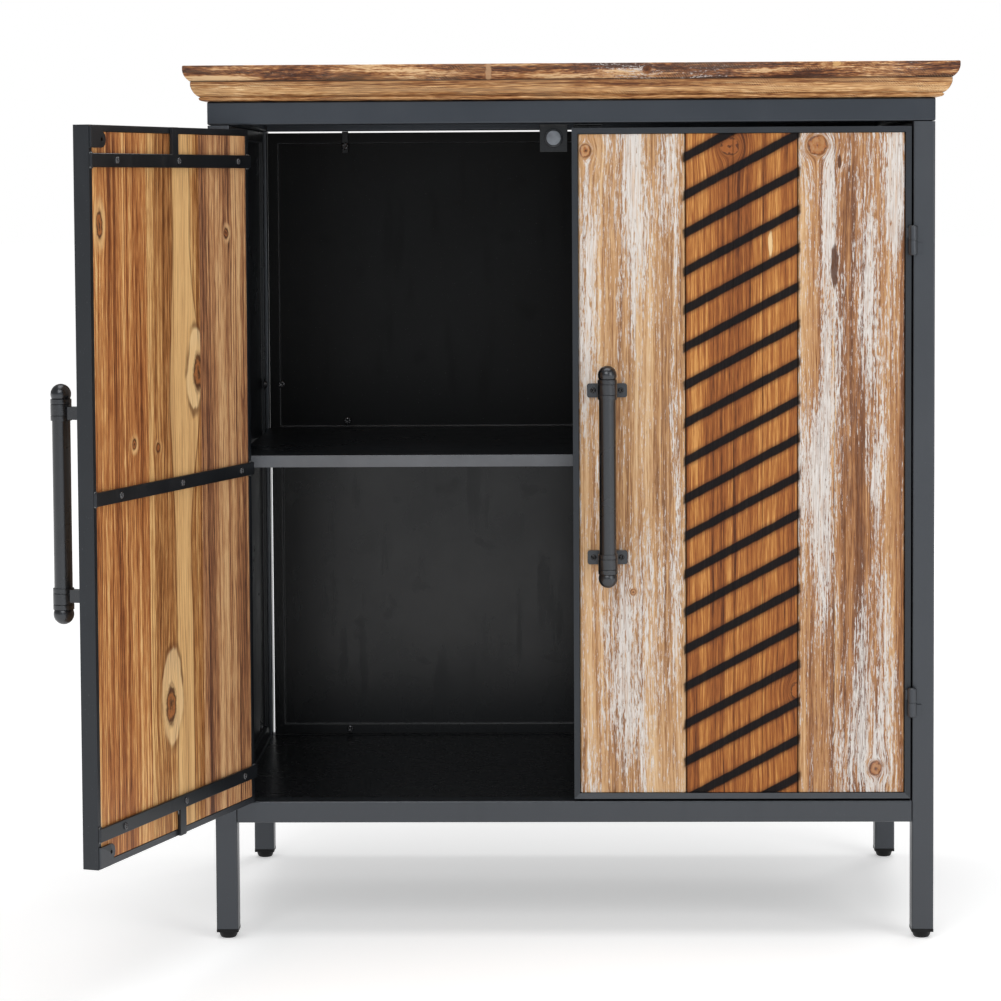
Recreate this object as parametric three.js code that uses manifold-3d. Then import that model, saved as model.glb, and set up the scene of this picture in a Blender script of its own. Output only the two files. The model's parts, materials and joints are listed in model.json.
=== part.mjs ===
// Two-door sideboard: a square steel tube frame on four plastic feet, a moulded wooden top, steel
// panels and shelf inside, and two plank doors in flat-bar frames on lift-off hinges.
// Millimetres, +Z up, +X to the right of someone facing the doors, -Y towards that person.
// The origin is on the floor, at the middle of the steel frame's footprint.
// At rest the left door stands open and the right door is shut.
import * as THREE from 'three';
import { mergeVertices } from 'three/addons/utils/BufferGeometryUtils.js';
import Module from 'manifold-3d';

const wasm = await Module();
wasm.setup();

// Overall frame
const HEIGHT = 900;
const FRAME_WIDTH = 740;
const FRAME_DEPTH = 417;
const FRONT = -FRAME_DEPTH / 2;
const BACK = FRAME_DEPTH / 2;
const GAP = 0.3; // clearance kept between pieces that touch
const TUBE = 22.5; // side of the square tube
const TUBE_WALL = 1.2;
const TUBE_CORNER = 2; // outside corner radius of the tube
const TOP_RAIL_HEIGHT = 24;
const TOP_RAIL_TOP = 864;
const TOP_RAIL_BOTTOM = TOP_RAIL_TOP - TOP_RAIL_HEIGHT;
const LOWER_RAIL_TOP = 144;
const LOWER_RAIL_BOTTOM = LOWER_RAIL_TOP - TUBE;
const INNER_HALF_WIDTH = FRAME_WIDTH / 2 - TUBE;

// Wooden top: an upper board on a lower moulded border
const SLAB_THICKNESS = 16;
const SLAB_BOTTOM = HEIGHT - SLAB_THICKNESS;
const SLAB_OVERHANG = 22.5;
const SLAB_FACE_BOTTOM = 895; // below this height the edge slopes in under the board
const SLAB_CURVE = [21.5, 888]; // overhang and height that slope bends towards
const SLAB_ARRIS = 1.5;
const MOULDING_OVERHANG = 15.4;
const MOULDING_FACE_BOTTOM = 879.5;
const MOULDING_CURVE = [12.8, 870.5]; // overhang and height the lower curve bends towards
const BEAD_OVERHANG = 7.8; // a small bead runs along the border's lower edge
const BEAD_FACE_BOTTOM = 867.4;
const BEAD_NOTCH = [6.4, 868.3];
const MOULDING_BOTTOM_OVERHANG = 2.5;
const MOULDING_REACH_IN = 38; // how far the border reaches in over the rails

// Feet
const FOOT_SHOULDER_BOTTOM = 7;
const FOOT_HEIGHT = 10;
const FOOT_DOME_RADIUS = 9.6;
const FOOT_FLAT_RADIUS = 6.5;
const FOOT_PLUG_HEIGHT = 14;

// Sheet steel panels, floor and shelf
const SHEET = 1.5;
const PAN_RIM = 12; // width of the border round a panel
const PAN_DEPTH = 6;
const SIDE_PANEL_FACE = 351; // half-width between the side panels' inner faces
const BACK_PANEL_FACE = BACK - 17.5; // front of the back panels
const BACK_PANEL_TOP = 838.2;
const BACK_PANEL_SPLIT = 490;
const UPPER_BACK_HALF_WIDTH = INNER_HALF_WIDTH - 0.4;
const LOWER_BACK_HALF_WIDTH = INNER_HALF_WIDTH - 2;
const SHELF_TOP = 500;
const SHELF_LIP = 12.5;
const SHELF_FRONT = FRONT + 25;
const FLOOR_TOP = 143.5;
const FLOOR_LIP = 12;

// Doors, measured in the shut position
const DOOR_WIDTH = 345;
const DOOR_BOTTOM = 146;
const DOOR_TOP = 835;
const DOOR_HEIGHT = DOOR_TOP - DOOR_BOTTOM;
const BAR_THICKNESS = 6;
const BAR_DEPTH = 16;
const CENTRE_GAP = 1; // from the cabinet's middle plane to each door
const PLANK_RECESS = 1.5; // planks sit this far behind the front edge of the frame
const PLANK_THICKNESS = 14;
const PLANK_CENTRE_WIDTH = 115;
const PLANK_CHAMFER = 1.6;
const PLANK_SEAM = 0.4;
const LEFT_DOOR_OPEN = THREE.MathUtils.degToRad(109);

// Diagonal grooves sawn across each centre plank
const GROOVE_COUNT = 19;
const GROOVE_PITCH = 38.8;
const GROOVE_WIDTH = 9;
const GROOVE_DEPTH = 1.2;
const GROOVE_ANGLE = THREE.MathUtils.degToRad(28.2);
const GROOVE_FIRST = 835.8; // height of the top groove at the plank's middle

// Straps and tabs welded on the back of each door frame
const STRAP_HEIGHT = 13;
const STRAP_THICKNESS = 3;
const STRAP_INSET = 32.5; // from the door's end to the strap's middle
const TAB_LENGTH = 24;
const TAB_HEIGHT = 15;
const TAB_THICKNESS = 2.5;
const TAB_LAP = 5; // overlap of a tab on the frame
const TAB_SINK = 0.2; // weld depth of a tab into the frame
const TAB_HOLE_RADIUS = 2;
const TAB_HOLE_REACH = 16;

// Hinges: a pin and socket on the leg, a knuckle that lifts off it on the door
const HINGE_X = 347;
const HINGE_OFFSET = 4.9; // axis in front of the frame's face
const HINGE_Y = FRONT - HINGE_OFFSET;
const HINGE_HEIGHTS = { upper: 719, lower: 246 };
const KNUCKLE_RADIUS = 4.5;
const KNUCKLE_LENGTH = 15;
const KNUCKLE_CHAMFER = 1;
const KNUCKLE_BORE = 2.6;
const KNUCKLE_BORE_DEPTH = 11;
const PIN_RADIUS = 2.2;
const PIN_LENGTH = 10;
const LEAF_THICKNESS = 2;
const LEAF_HEIGHT = 10;
const SOCKET_LEAF_REACH = 10;
const KNUCKLE_LEAF_REACH = 6.5;

// Handles: a turned bar with a ball at each end, held by two collared brackets
const HANDLE_FROM_EDGE = 35; // from the door's free edge to the bar's axis
const HANDLE_STANDOFF = 35; // from the door's front face to the bar's axis
const HANDLE_HEIGHT = 481.9;
const BRACKET_SPACING = 171.4;
const GRIP_RADIUS = 8.6;
const GRIP_NECK_RADIUS = 7.8;
const GRIP_BALL_RADIUS = 9.7;
const GRIP_NECK_START = 97; // from the bar's middle
const GRIP_BALL_CENTRE = 103.3;
const COLLAR_RADIUS = 9.9;
const COLLAR_BORE = 8.9;
const COLLAR_HEIGHT = 20;
const COLLAR_SHIFT = 3; // towards the bar's end, from the ear's middle
const COLLAR_GROOVE_HEIGHT = 5.3; // from the collar's middle
const COLLAR_GROOVE_DEPTH = 0.4;
const ARM_WIDTH = 9;
const ARM_HEIGHT = 12;
const EAR_LENGTH = 41;
const EAR_HEIGHT = 14.4;
const EAR_THICKNESS = 2.5;
const EAR_CORNER = 2.6;

// Magnetic catches under the front top rail
const CATCH_X = 17.4;
const CATCH_PLATE_WIDTH = 28.6;
const CATCH_PLATE_BOTTOM = 811;
const CATCH_SHEET = 2;
const CATCH_FLANGE_FRONT = FRONT + 8;
const MAGNET_RADIUS = 7.75;
const MAGNET_THICKNESS = 4;
const MAGNET_HEIGHT = 825.4;
const MAGNET_CLEARANCE = 0.4; // to the shut door's tab

const ROUND_SEGMENTS = 24;
const CURVE_SEGMENTS = 5;

const material = (color, roughness, metalness) =>
  new THREE.MeshStandardMaterial({ color, roughness, metalness });

const LOOKS = {
  top: () => material(0x7a5534, 0.65, 0),
  moulding: () => material(0xb08250, 0.6, 0),
  plank: () => material(0xc4a078, 0.75, 0),
  centrePlank: () => material(0xb06c30, 0.6, 0),
  frameSteel: () => material(0x4a4e54, 0.5, 0.6),
  panelSteel: () => material(0x1c1d1e, 0.55, 0.5),
  handleSteel: () => material(0x33363a, 0.35, 0.8),
  magnet: () => material(0x8b8f92, 0.35, 0.9),
  foot: () => material(0x101010, 0.6, 0),
};

// ---- solids -------------------------------------------------------------------------------

function toSolid(geometry) {
  const bare = geometry.clone();
  bare.deleteAttribute('normal');
  bare.deleteAttribute('uv');
  const merged = mergeVertices(bare, 1e-4);
  return new wasm.Manifold(
    new wasm.Mesh({
      numProp: 3,
      vertProperties: new Float32Array(merged.attributes.position.array),
      triVerts: new Uint32Array(merged.index.array),
    }),
  );
}

function toGeometry(solid) {
  const mesh = solid.getMesh();
  const geometry = new THREE.BufferGeometry();
  geometry.setAttribute('position', new THREE.BufferAttribute(mesh.vertProperties, 3));
  geometry.setIndex(new THREE.BufferAttribute(mesh.triVerts, 1));
  geometry.computeVertexNormals();
  return geometry;
}

function join(first, ...others) {
  return toGeometry(others.reduce((solid, next) => solid.add(toSolid(next)), toSolid(first)));
}

function cut(first, ...tools) {
  return toGeometry(tools.reduce((solid, tool) => solid.subtract(toSolid(tool)), toSolid(first)));
}

function common(first, second) {
  return toGeometry(toSolid(first).intersect(toSolid(second)));
}

// A block between two opposite corners.
function block(low, high) {
  const size = high.map((value, i) => value - low[i]);
  const middle = high.map((value, i) => (value + low[i]) / 2);
  return new THREE.BoxGeometry(...size).translate(...middle);
}

// A turned solid about the Z axis, from [radius, height] points that start and end on the axis.
function turned(points) {
  const outline = points.map(([radius, height]) => new THREE.Vector2(radius, height));
  return new THREE.LatheGeometry(outline, ROUND_SEGMENTS).rotateX(Math.PI / 2);
}

// A flat plate drawn in X and Z, from y to y + thickness.
function plate(shape, y, thickness) {
  const options = { depth: thickness, bevelEnabled: false, curveSegments: CURVE_SEGMENTS };
  return new THREE.ExtrudeGeometry(shape, options).rotateX(Math.PI / 2).translate(0, y + thickness, 0);
}

// A column with a plan drawn in X and Y, from one height to another.
function column(shape, bottom, top) {
  const options = { depth: top - bottom, bevelEnabled: false, curveSegments: CURVE_SEGMENTS };
  return new THREE.ExtrudeGeometry(shape, options).translate(0, 0, bottom);
}

// A bar along X whose section is drawn as (outward, up). Outward points to -Y and is 0 on the line
// through the corners. A mitred end is cut at 45 degrees through the corner at the half-length.
function bar(section, halfLength, { mitreLeft = true, mitreRight = true } = {}) {
  const options = { depth: 1, bevelEnabled: false, curveSegments: CURVE_SEGMENTS };
  const geometry = new THREE.ExtrudeGeometry(section, options);
  const position = geometry.attributes.position;
  for (let i = 0; i < position.count; i += 1) {
    const outward = position.getX(i);
    const up = position.getY(i);
    const isLeft = position.getZ(i) > 0.5;
    const mitred = isLeft ? mitreLeft : mitreRight;
    const end = halfLength + (mitred ? outward : 0);
    position.setXYZ(i, isLeft ? -end : end, -outward, up);
  }
  geometry.computeVertexNormals();
  return geometry;
}

function rectangle(left, bottom, right, top, radius = 0) {
  const shape = new THREE.Shape();
  if (radius === 0) {
    shape.moveTo(left, bottom).lineTo(right, bottom).lineTo(right, top).lineTo(left, top);
    shape.closePath();
    return shape;
  }
  shape.absarc(right - radius, bottom + radius, radius, -Math.PI / 2, 0, false);
  shape.absarc(right - radius, top - radius, radius, 0, Math.PI / 2, false);
  shape.absarc(left + radius, top - radius, radius, Math.PI / 2, Math.PI, false);
  shape.absarc(left + radius, bottom + radius, radius, Math.PI, 1.5 * Math.PI, false);
  return shape;
}

function tubeSection(left, bottom, right, top) {
  const section = rectangle(left, bottom, right, top, TUBE_CORNER);
  const wall = TUBE_WALL;
  section.holes.push(rectangle(left + wall, bottom + wall, right - wall, top - wall));
  return section;
}

// A shallow pan, standing up: a sheet behind a raised border that faces -Y.
function pan(halfWidth, bottom, top, face, depth) {
  const body = block([-halfWidth, face, bottom], [halfWidth, face + depth, top]);
  const pocket = block(
    [-halfWidth + PAN_RIM, face - depth, bottom + PAN_RIM],
    [halfWidth - PAN_RIM, face + depth - SHEET, top - PAN_RIM],
  );
  return cut(body, pocket);
}

// A sheet lying flat with its four edges folded down.
function foldedTray(halfWidth, front, back, top, lip) {
  const body = block([-halfWidth, front, top - lip], [halfWidth, back, top]);
  const hollow = block(
    [-halfWidth + SHEET, front + SHEET, top - 2 * lip],
    [halfWidth - SHEET, back - SHEET, top - SHEET],
  );
  return cut(body, hollow);
}

const sideboard = new THREE.Group();

function add(parent, name, geometry, look) {
  const mesh = new THREE.Mesh(geometry, look());
  mesh.name = name;
  parent.add(mesh);
  return mesh;
}

// ---- wooden top ---------------------------------------------------------------------------

// The board's edge as (outward, up), closed far inside the board.
function slabEdge(insideReach, overhang) {
  const edge = new THREE.Shape();
  edge.moveTo(-insideReach, SLAB_BOTTOM);
  edge.lineTo(MOULDING_OVERHANG, SLAB_BOTTOM);
  edge.quadraticCurveTo(...SLAB_CURVE, overhang, SLAB_FACE_BOTTOM);
  edge.lineTo(overhang, HEIGHT - SLAB_ARRIS);
  edge.quadraticCurveTo(overhang, HEIGHT, overhang - SLAB_ARRIS, HEIGHT);
  edge.lineTo(-insideReach, HEIGHT);
  edge.closePath();
  return edge;
}

function makeTopPanel() {
  const halfWidth = FRAME_WIDTH / 2;
  const frontEdge = bar(slabEdge(FRAME_DEPTH, SLAB_OVERHANG), FRAME_WIDTH, {
    mitreLeft: false,
    mitreRight: false,
  }).translate(0, FRONT, 0);
  const leftHalf = slabEdge(halfWidth, SLAB_OVERHANG);
  const sideOptions = { mitreLeft: false, mitreRight: false };
  const left = bar(leftHalf, FRAME_DEPTH, sideOptions).rotateZ(-Math.PI / 2);
  const right = bar(leftHalf, FRAME_DEPTH, sideOptions).rotateZ(Math.PI / 2);
  const sides = join(left.translate(-halfWidth, 0, 0), right.translate(halfWidth, 0, 0));
  add(sideboard, 'top_panel', common(frontEdge, sides), LOOKS.top);
}

function mouldingSection() {
  const section = new THREE.Shape();
  const bottom = TOP_RAIL_TOP + GAP;
  const top = SLAB_BOTTOM - GAP;
  section.moveTo(-MOULDING_REACH_IN, bottom);
  section.lineTo(MOULDING_BOTTOM_OVERHANG, bottom);
  section.quadraticCurveTo(BEAD_OVERHANG, bottom, BEAD_OVERHANG, BEAD_FACE_BOTTOM);
  section.lineTo(...BEAD_NOTCH);
  section.quadraticCurveTo(...MOULDING_CURVE, MOULDING_OVERHANG, MOULDING_FACE_BOTTOM);
  section.lineTo(MOULDING_OVERHANG, top);
  section.lineTo(-MOULDING_REACH_IN, top);
  section.closePath();
  return section;
}

function makeMouldings() {
  const section = mouldingSection();
  const halfWidth = FRAME_WIDTH / 2;
  const halfDepth = FRAME_DEPTH / 2;
  const front = bar(section, halfWidth - GAP).translate(0, FRONT, 0);
  add(sideboard, 'top_moulding_front', front, LOOKS.moulding);
  const left = bar(section, halfDepth - GAP, { mitreLeft: false });
  left.rotateZ(-Math.PI / 2).translate(-halfWidth, 0, 0);
  add(sideboard, 'top_moulding_left', left, LOOKS.moulding);
  const right = bar(section, halfDepth - GAP, { mitreRight: false });
  right.rotateZ(Math.PI / 2).translate(halfWidth, 0, 0);
  add(sideboard, 'top_moulding_right', right, LOOKS.moulding);
  const reach = halfWidth - MOULDING_REACH_IN - GAP;
  const batten = block(
    [-reach, BACK - MOULDING_REACH_IN, TOP_RAIL_TOP + GAP],
    [reach, BACK - GAP, SLAB_BOTTOM - GAP],
  );
  add(sideboard, 'top_batten_back', batten, LOOKS.moulding);
}

// ---- steel frame --------------------------------------------------------------------------

function makeTopRails() {
  const section = tubeSection(-TUBE, TOP_RAIL_BOTTOM, 0, TOP_RAIL_TOP);
  const rails = [
    ['front', FRAME_WIDTH / 2, FRAME_DEPTH / 2, 0],
    ['right', FRAME_DEPTH / 2, FRAME_WIDTH / 2, Math.PI / 2],
    ['back', FRAME_WIDTH / 2, FRAME_DEPTH / 2, Math.PI],
    ['left', FRAME_DEPTH / 2, FRAME_WIDTH / 2, -Math.PI / 2],
  ];
  for (const [name, halfLength, outward, turn] of rails) {
    const rail = bar(section, halfLength - GAP).translate(0, -outward, 0).rotateZ(turn);
    add(sideboard, `top_rail_${name}`, rail, LOOKS.frameSteel);
  }
}

function makeLowerRails() {
  const section = tubeSection(-TUBE, LOWER_RAIL_BOTTOM, 0, LOWER_RAIL_TOP);
  const square = { mitreLeft: false, mitreRight: false };
  const rails = [
    ['front', INNER_HALF_WIDTH, FRAME_DEPTH / 2, 0],
    ['right', FRAME_DEPTH / 2 - TUBE, FRAME_WIDTH / 2, Math.PI / 2],
    ['back', INNER_HALF_WIDTH, FRAME_DEPTH / 2, Math.PI],
    ['left', FRAME_DEPTH / 2 - TUBE, FRAME_WIDTH / 2, -Math.PI / 2],
  ];
  for (const [name, halfLength, outward, turn] of rails) {
    const rail = bar(section, halfLength - GAP, square).translate(0, -outward, 0).rotateZ(turn);
    add(sideboard, `lower_rail_${name}`, rail, LOOKS.frameSteel);
  }
}

function makeFoot() {
  const half = TUBE / 2;
  const plugHalf = half - TUBE_WALL - GAP;
  const shoulder = block([-half, -half, FOOT_SHOULDER_BOTTOM], [half, half, FOOT_HEIGHT]);
  const plugTop = FOOT_HEIGHT + FOOT_PLUG_HEIGHT;
  const plug = block([-plugHalf, -plugHalf, FOOT_SHOULDER_BOTTOM], [plugHalf, plugHalf, plugTop]);
  const rounding = [];
  for (let i = 0; i <= CURVE_SEGMENTS; i += 1) {
    const angle = ((Math.PI / 2) * i) / CURVE_SEGMENTS;
    const radius = FOOT_FLAT_RADIUS + (FOOT_DOME_RADIUS - FOOT_FLAT_RADIUS) * Math.sin(angle);
    rounding.push([radius, FOOT_SHOULDER_BOTTOM * (1 - Math.cos(angle))]);
  }
  const dome = turned([[0, 0], ...rounding, [FOOT_DOME_RADIUS, FOOT_HEIGHT], [0, FOOT_HEIGHT]]);
  return join(shoulder, plug, dome);
}

function makeLegsAndFeet() {
  const half = TUBE / 2;
  const section = tubeSection(-half, -half, half, half);
  const places = [
    ['front_left', -1, -1],
    ['front_right', 1, -1],
    ['back_left', -1, 1],
    ['back_right', 1, 1],
  ];
  for (const [name, sideX, sideY] of places) {
    const x = sideX * (FRAME_WIDTH / 2 - half);
    const y = sideY * (FRAME_DEPTH / 2 - half);
    const leg = column(section, FOOT_HEIGHT + GAP, TOP_RAIL_BOTTOM - GAP);
    add(sideboard, `leg_${name}`, leg, LOOKS.frameSteel).position.set(x, y, 0);
    add(sideboard, `foot_${name}`, makeFoot(), LOOKS.foot).position.set(x, y, 0);
  }
}

// ---- sheet steel carcass ------------------------------------------------------------------

function makePanels() {
  const bottom = LOWER_RAIL_TOP + GAP;
  const lowerBack = pan(LOWER_BACK_HALF_WIDTH, bottom, BACK_PANEL_SPLIT - GAP, BACK_PANEL_FACE, PAN_DEPTH);
  add(sideboard, 'back_panel_lower', lowerBack, LOOKS.panelSteel);
  const upperBack = pan(UPPER_BACK_HALF_WIDTH, BACK_PANEL_SPLIT, BACK_PANEL_TOP, BACK_PANEL_FACE, PAN_DEPTH);
  add(sideboard, 'back_panel_upper', upperBack, LOOKS.panelSteel);
  const halfLength = FRAME_DEPTH / 2 - TUBE - GAP;
  const top = TOP_RAIL_BOTTOM - GAP;
  const left = pan(halfLength, bottom, top, SIDE_PANEL_FACE, PAN_DEPTH).rotateZ(Math.PI / 2);
  add(sideboard, 'side_panel_left', left, LOOKS.panelSteel);
  const right = pan(halfLength, bottom, top, SIDE_PANEL_FACE, PAN_DEPTH).rotateZ(-Math.PI / 2);
  add(sideboard, 'side_panel_right', right, LOOKS.panelSteel);
}

function makeFloorAndShelf() {
  const insideFrame = FRAME_DEPTH / 2 - TUBE - GAP;
  const floorHalfWidth = INNER_HALF_WIDTH - GAP;
  const floor = foldedTray(floorHalfWidth, -insideFrame, insideFrame, FLOOR_TOP, FLOOR_LIP);
  add(sideboard, 'floor_panel', floor, LOOKS.panelSteel);
  const shelfBack = BACK_PANEL_FACE - GAP;
  const shelfHalfWidth = INNER_HALF_WIDTH - GAP;
  const shelf = foldedTray(shelfHalfWidth, SHELF_FRONT, shelfBack, SHELF_TOP, SHELF_LIP);
  add(sideboard, 'shelf', shelf, LOOKS.panelSteel);
}

// ---- magnetic catches ---------------------------------------------------------------------

function makeCatch(name, side) {
  const magnetFront = FRONT + BAR_DEPTH - TAB_SINK + TAB_THICKNESS + MAGNET_CLEARANCE;
  const plateFront = magnetFront + MAGNET_THICKNESS + GAP;
  const plateBack = plateFront + CATCH_SHEET;
  const half = CATCH_PLATE_WIDTH / 2;
  const top = TOP_RAIL_BOTTOM - GAP;
  const face = block([-half, plateFront, CATCH_PLATE_BOTTOM], [half, plateBack, top]);
  const flange = block([-half, CATCH_FLANGE_FRONT, top - CATCH_SHEET], [half, plateBack, top]);
  const bracket = add(sideboard, `catch_bracket_${name}`, join(face, flange), LOOKS.panelSteel);
  bracket.position.x = side * CATCH_X;
  const disc = new THREE.CylinderGeometry(MAGNET_RADIUS, MAGNET_RADIUS, MAGNET_THICKNESS, ROUND_SEGMENTS);
  const magnet = add(sideboard, `catch_magnet_${name}`, disc, LOOKS.magnet);
  magnet.position.set(side * CATCH_X, magnetFront + MAGNET_THICKNESS / 2, MAGNET_HEIGHT);
}

// ---- hinges -------------------------------------------------------------------------------

// The half that is welded to the leg, about its own axis. Its pin stands up from height 0.
function makeHingeSocket(side) {
  const barrel = turned([
    [0, -KNUCKLE_LENGTH],
    [KNUCKLE_RADIUS - KNUCKLE_CHAMFER, -KNUCKLE_LENGTH],
    [KNUCKLE_RADIUS, KNUCKLE_CHAMFER - KNUCKLE_LENGTH],
    [KNUCKLE_RADIUS, 0],
    [PIN_RADIUS, 0],
    [PIN_RADIUS, PIN_LENGTH],
    [0, PIN_LENGTH],
  ]);
  const leafBack = HINGE_OFFSET - GAP;
  const middle = -KNUCKLE_LENGTH / 2;
  const leaf = block(
    [Math.min(0, side * SOCKET_LEAF_REACH), leafBack - LEAF_THICKNESS, middle - LEAF_HEIGHT / 2],
    [Math.max(0, side * SOCKET_LEAF_REACH), leafBack, middle + LEAF_HEIGHT / 2],
  );
  return join(barrel, leaf);
}

// The half that is welded to the door and drops over the pin. Its mouth is at height 0.
function makeHingeKnuckle(side) {
  const barrel = turned([
    [0, KNUCKLE_BORE_DEPTH],
    [KNUCKLE_BORE, KNUCKLE_BORE_DEPTH],
    [KNUCKLE_BORE, 0],
    [KNUCKLE_RADIUS, 0],
    [KNUCKLE_RADIUS, KNUCKLE_LENGTH - KNUCKLE_CHAMFER],
    [KNUCKLE_RADIUS - KNUCKLE_CHAMFER, KNUCKLE_LENGTH],
    [0, KNUCKLE_LENGTH],
  ]);
  const leafBack = HINGE_OFFSET - GAP;
  const start = -side * (KNUCKLE_BORE + 1);
  const end = -side * KNUCKLE_LEAF_REACH;
  const middle = KNUCKLE_LENGTH / 2;
  const leaf = block(
    [Math.min(start, end), leafBack - LEAF_THICKNESS, middle - LEAF_HEIGHT / 2],
    [Math.max(start, end), leafBack, middle + LEAF_HEIGHT / 2],
  );
  return join(barrel, leaf);
}

function makeHingeSockets(name, side) {
  for (const [level, height] of Object.entries(HINGE_HEIGHTS)) {
    const socket = add(
      sideboard,
      `hinge_socket_${name}_${level}`,
      makeHingeSocket(side),
      LOOKS.frameSteel,
    );
    socket.position.set(side * HINGE_X, HINGE_Y, height);
  }
}

// ---- doors --------------------------------------------------------------------------------
// Each door is drawn about its hinge axis, with X running from the axis along the shut door and Y
// from the axis towards the back. "reach" is the distance from the axis towards the free edge.

const NEAR_EDGE = HINGE_X - CENTRE_GAP - DOOR_WIDTH;
const FREE_EDGE = NEAR_EDGE + DOOR_WIDTH;
const FACE_Y = HINGE_OFFSET;
const BACK_Y = FACE_Y + BAR_DEPTH;

// A rectangle between two reaches and two heights, on the door's own side.
function doorRectangle(side, reachA, bottom, reachB, top) {
  const [left, right] = [-side * reachA, -side * reachB].sort((a, b) => a - b);
  return rectangle(left, bottom, right, top);
}

// The steel tab at a free corner, which the catch's magnet holds. edge is the inner edge of the
// frame's end bar and inward is +1 or -1, the way from it to the door's middle height.
function makeTab(side, edge, inward) {
  const tip = FREE_EDGE - BAR_THICKNESS - TAB_LENGTH;
  const radius = TAB_HEIGHT / 2;
  const middle = edge + inward * radius;
  const ends = [edge - inward * TAB_LAP, edge + inward * TAB_HEIGHT].sort((a, b) => a - b);
  const lap = FREE_EDGE - BAR_THICKNESS + TAB_LAP;
  const flat = plate(
    doorRectangle(side, tip + radius, ends[0], lap, ends[1]),
    BACK_Y - TAB_SINK,
    TAB_THICKNESS,
  );
  const round = new THREE.Shape().absarc(-side * (tip + radius), middle, radius, 0, 2 * Math.PI);
  const nose = plate(round, BACK_Y - TAB_SINK, TAB_THICKNESS);
  const holeX = -side * (FREE_EDGE - BAR_THICKNESS - TAB_HOLE_REACH);
  const hole = new THREE.Shape().absarc(holeX, middle, TAB_HOLE_RADIUS, 0, 2 * Math.PI);
  return cut(join(flat, nose), plate(hole, FACE_Y, 2 * BAR_DEPTH));
}

function makeDoorFrame(side) {
  const outline = doorRectangle(side, NEAR_EDGE, DOOR_BOTTOM, FREE_EDGE, DOOR_TOP);
  const opening = doorRectangle(
    side,
    NEAR_EDGE + BAR_THICKNESS,
    DOOR_BOTTOM + BAR_THICKNESS,
    FREE_EDGE - BAR_THICKNESS,
    DOOR_TOP - BAR_THICKNESS,
  );
  outline.holes.push(opening);
  const bars = plate(outline, FACE_Y, BAR_DEPTH);
  const upperTab = makeTab(side, DOOR_TOP - BAR_THICKNESS, -1);
  const lowerTab = makeTab(side, DOOR_BOTTOM + BAR_THICKNESS, 1);
  return join(bars, upperTab, lowerTab);
}

// A strap across the back of the door. A stub runs from it over the frame's end bar when stubEnd
// gives the height of that bar's outer edge.
function makeStrap(side, height, stubEnd) {
  const bottom = height - STRAP_HEIGHT / 2;
  const top = height + STRAP_HEIGHT / 2;
  const y = BACK_Y + GAP;
  const strap = plate(doorRectangle(side, NEAR_EDGE, bottom, FREE_EDGE, top), y, STRAP_THICKNESS);
  if (stubEnd === undefined) {
    return strap;
  }
  const middle = (NEAR_EDGE + FREE_EDGE) / 2;
  const [low, high] = [height, stubEnd].sort((a, b) => a - b);
  const stub = doorRectangle(side, middle - STRAP_HEIGHT / 2, low, middle + STRAP_HEIGHT / 2, high);
  return join(strap, plate(stub, y, STRAP_THICKNESS));
}

// One plank with chamfered long edges on its front.
function makePlank(side, reachA, reachB) {
  const [left, right] = [-side * reachA, -side * reachB].sort((a, b) => a - b);
  const front = FACE_Y + PLANK_RECESS;
  const back = front + PLANK_THICKNESS;
  const plan = new THREE.Shape();
  plan.moveTo(left, back);
  plan.lineTo(left, front + PLANK_CHAMFER);
  plan.lineTo(left + PLANK_CHAMFER, front);
  plan.lineTo(right - PLANK_CHAMFER, front);
  plan.lineTo(right, front + PLANK_CHAMFER);
  plan.lineTo(right, back);
  plan.closePath();
  const clear = BAR_THICKNESS + GAP;
  return column(plan, DOOR_BOTTOM + clear, DOOR_TOP - clear);
}

function makeGroovedPlank(side, reachA, reachB) {
  const middle = -side * (reachA + reachB) * 0.5;
  const front = FACE_Y + PLANK_RECESS;
  const grooves = [];
  for (let i = 0; i < GROOVE_COUNT; i += 1) {
    const saw = new THREE.BoxGeometry(2 * PLANK_CENTRE_WIDTH, 2 * GROOVE_DEPTH, GROOVE_WIDTH);
    saw.rotateY(-side * GROOVE_ANGLE);
    saw.translate(middle, front, GROOVE_FIRST - i * GROOVE_PITCH);
    grooves.push(saw);
  }
  return cut(makePlank(side, reachA, reachB), ...grooves);
}

function makePlanks(door, name, side) {
  const start = NEAR_EDGE + BAR_THICKNESS + GAP;
  const end = FREE_EDGE - BAR_THICKNESS - GAP;
  const middle = (start + end) / 2;
  const seamA = middle - PLANK_CENTRE_WIDTH / 2;
  const seamB = middle + PLANK_CENTRE_WIDTH / 2;
  const half = PLANK_SEAM / 2;
  add(door, `${name}_plank_hinge_side`, makePlank(side, start, seamA - half), LOOKS.plank);
  const centre = makeGroovedPlank(side, seamA + half, seamB - half);
  add(door, `${name}_plank_centre`, centre, LOOKS.centrePlank);
  add(door, `${name}_plank_free_side`, makePlank(side, seamB + half, end), LOOKS.plank);
}

function ballProfile(centre, startHeight) {
  const steps = 9;
  const start = Math.asin((startHeight - centre) / GRIP_BALL_RADIUS);
  const points = [];
  for (let i = 0; i <= steps; i += 1) {
    const angle = start + ((Math.PI / 2 - start) * i) / steps;
    const radius = i === steps ? 0 : GRIP_BALL_RADIUS * Math.cos(angle);
    points.push([radius, centre + GRIP_BALL_RADIUS * Math.sin(angle)]);
  }
  return points;
}

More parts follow.
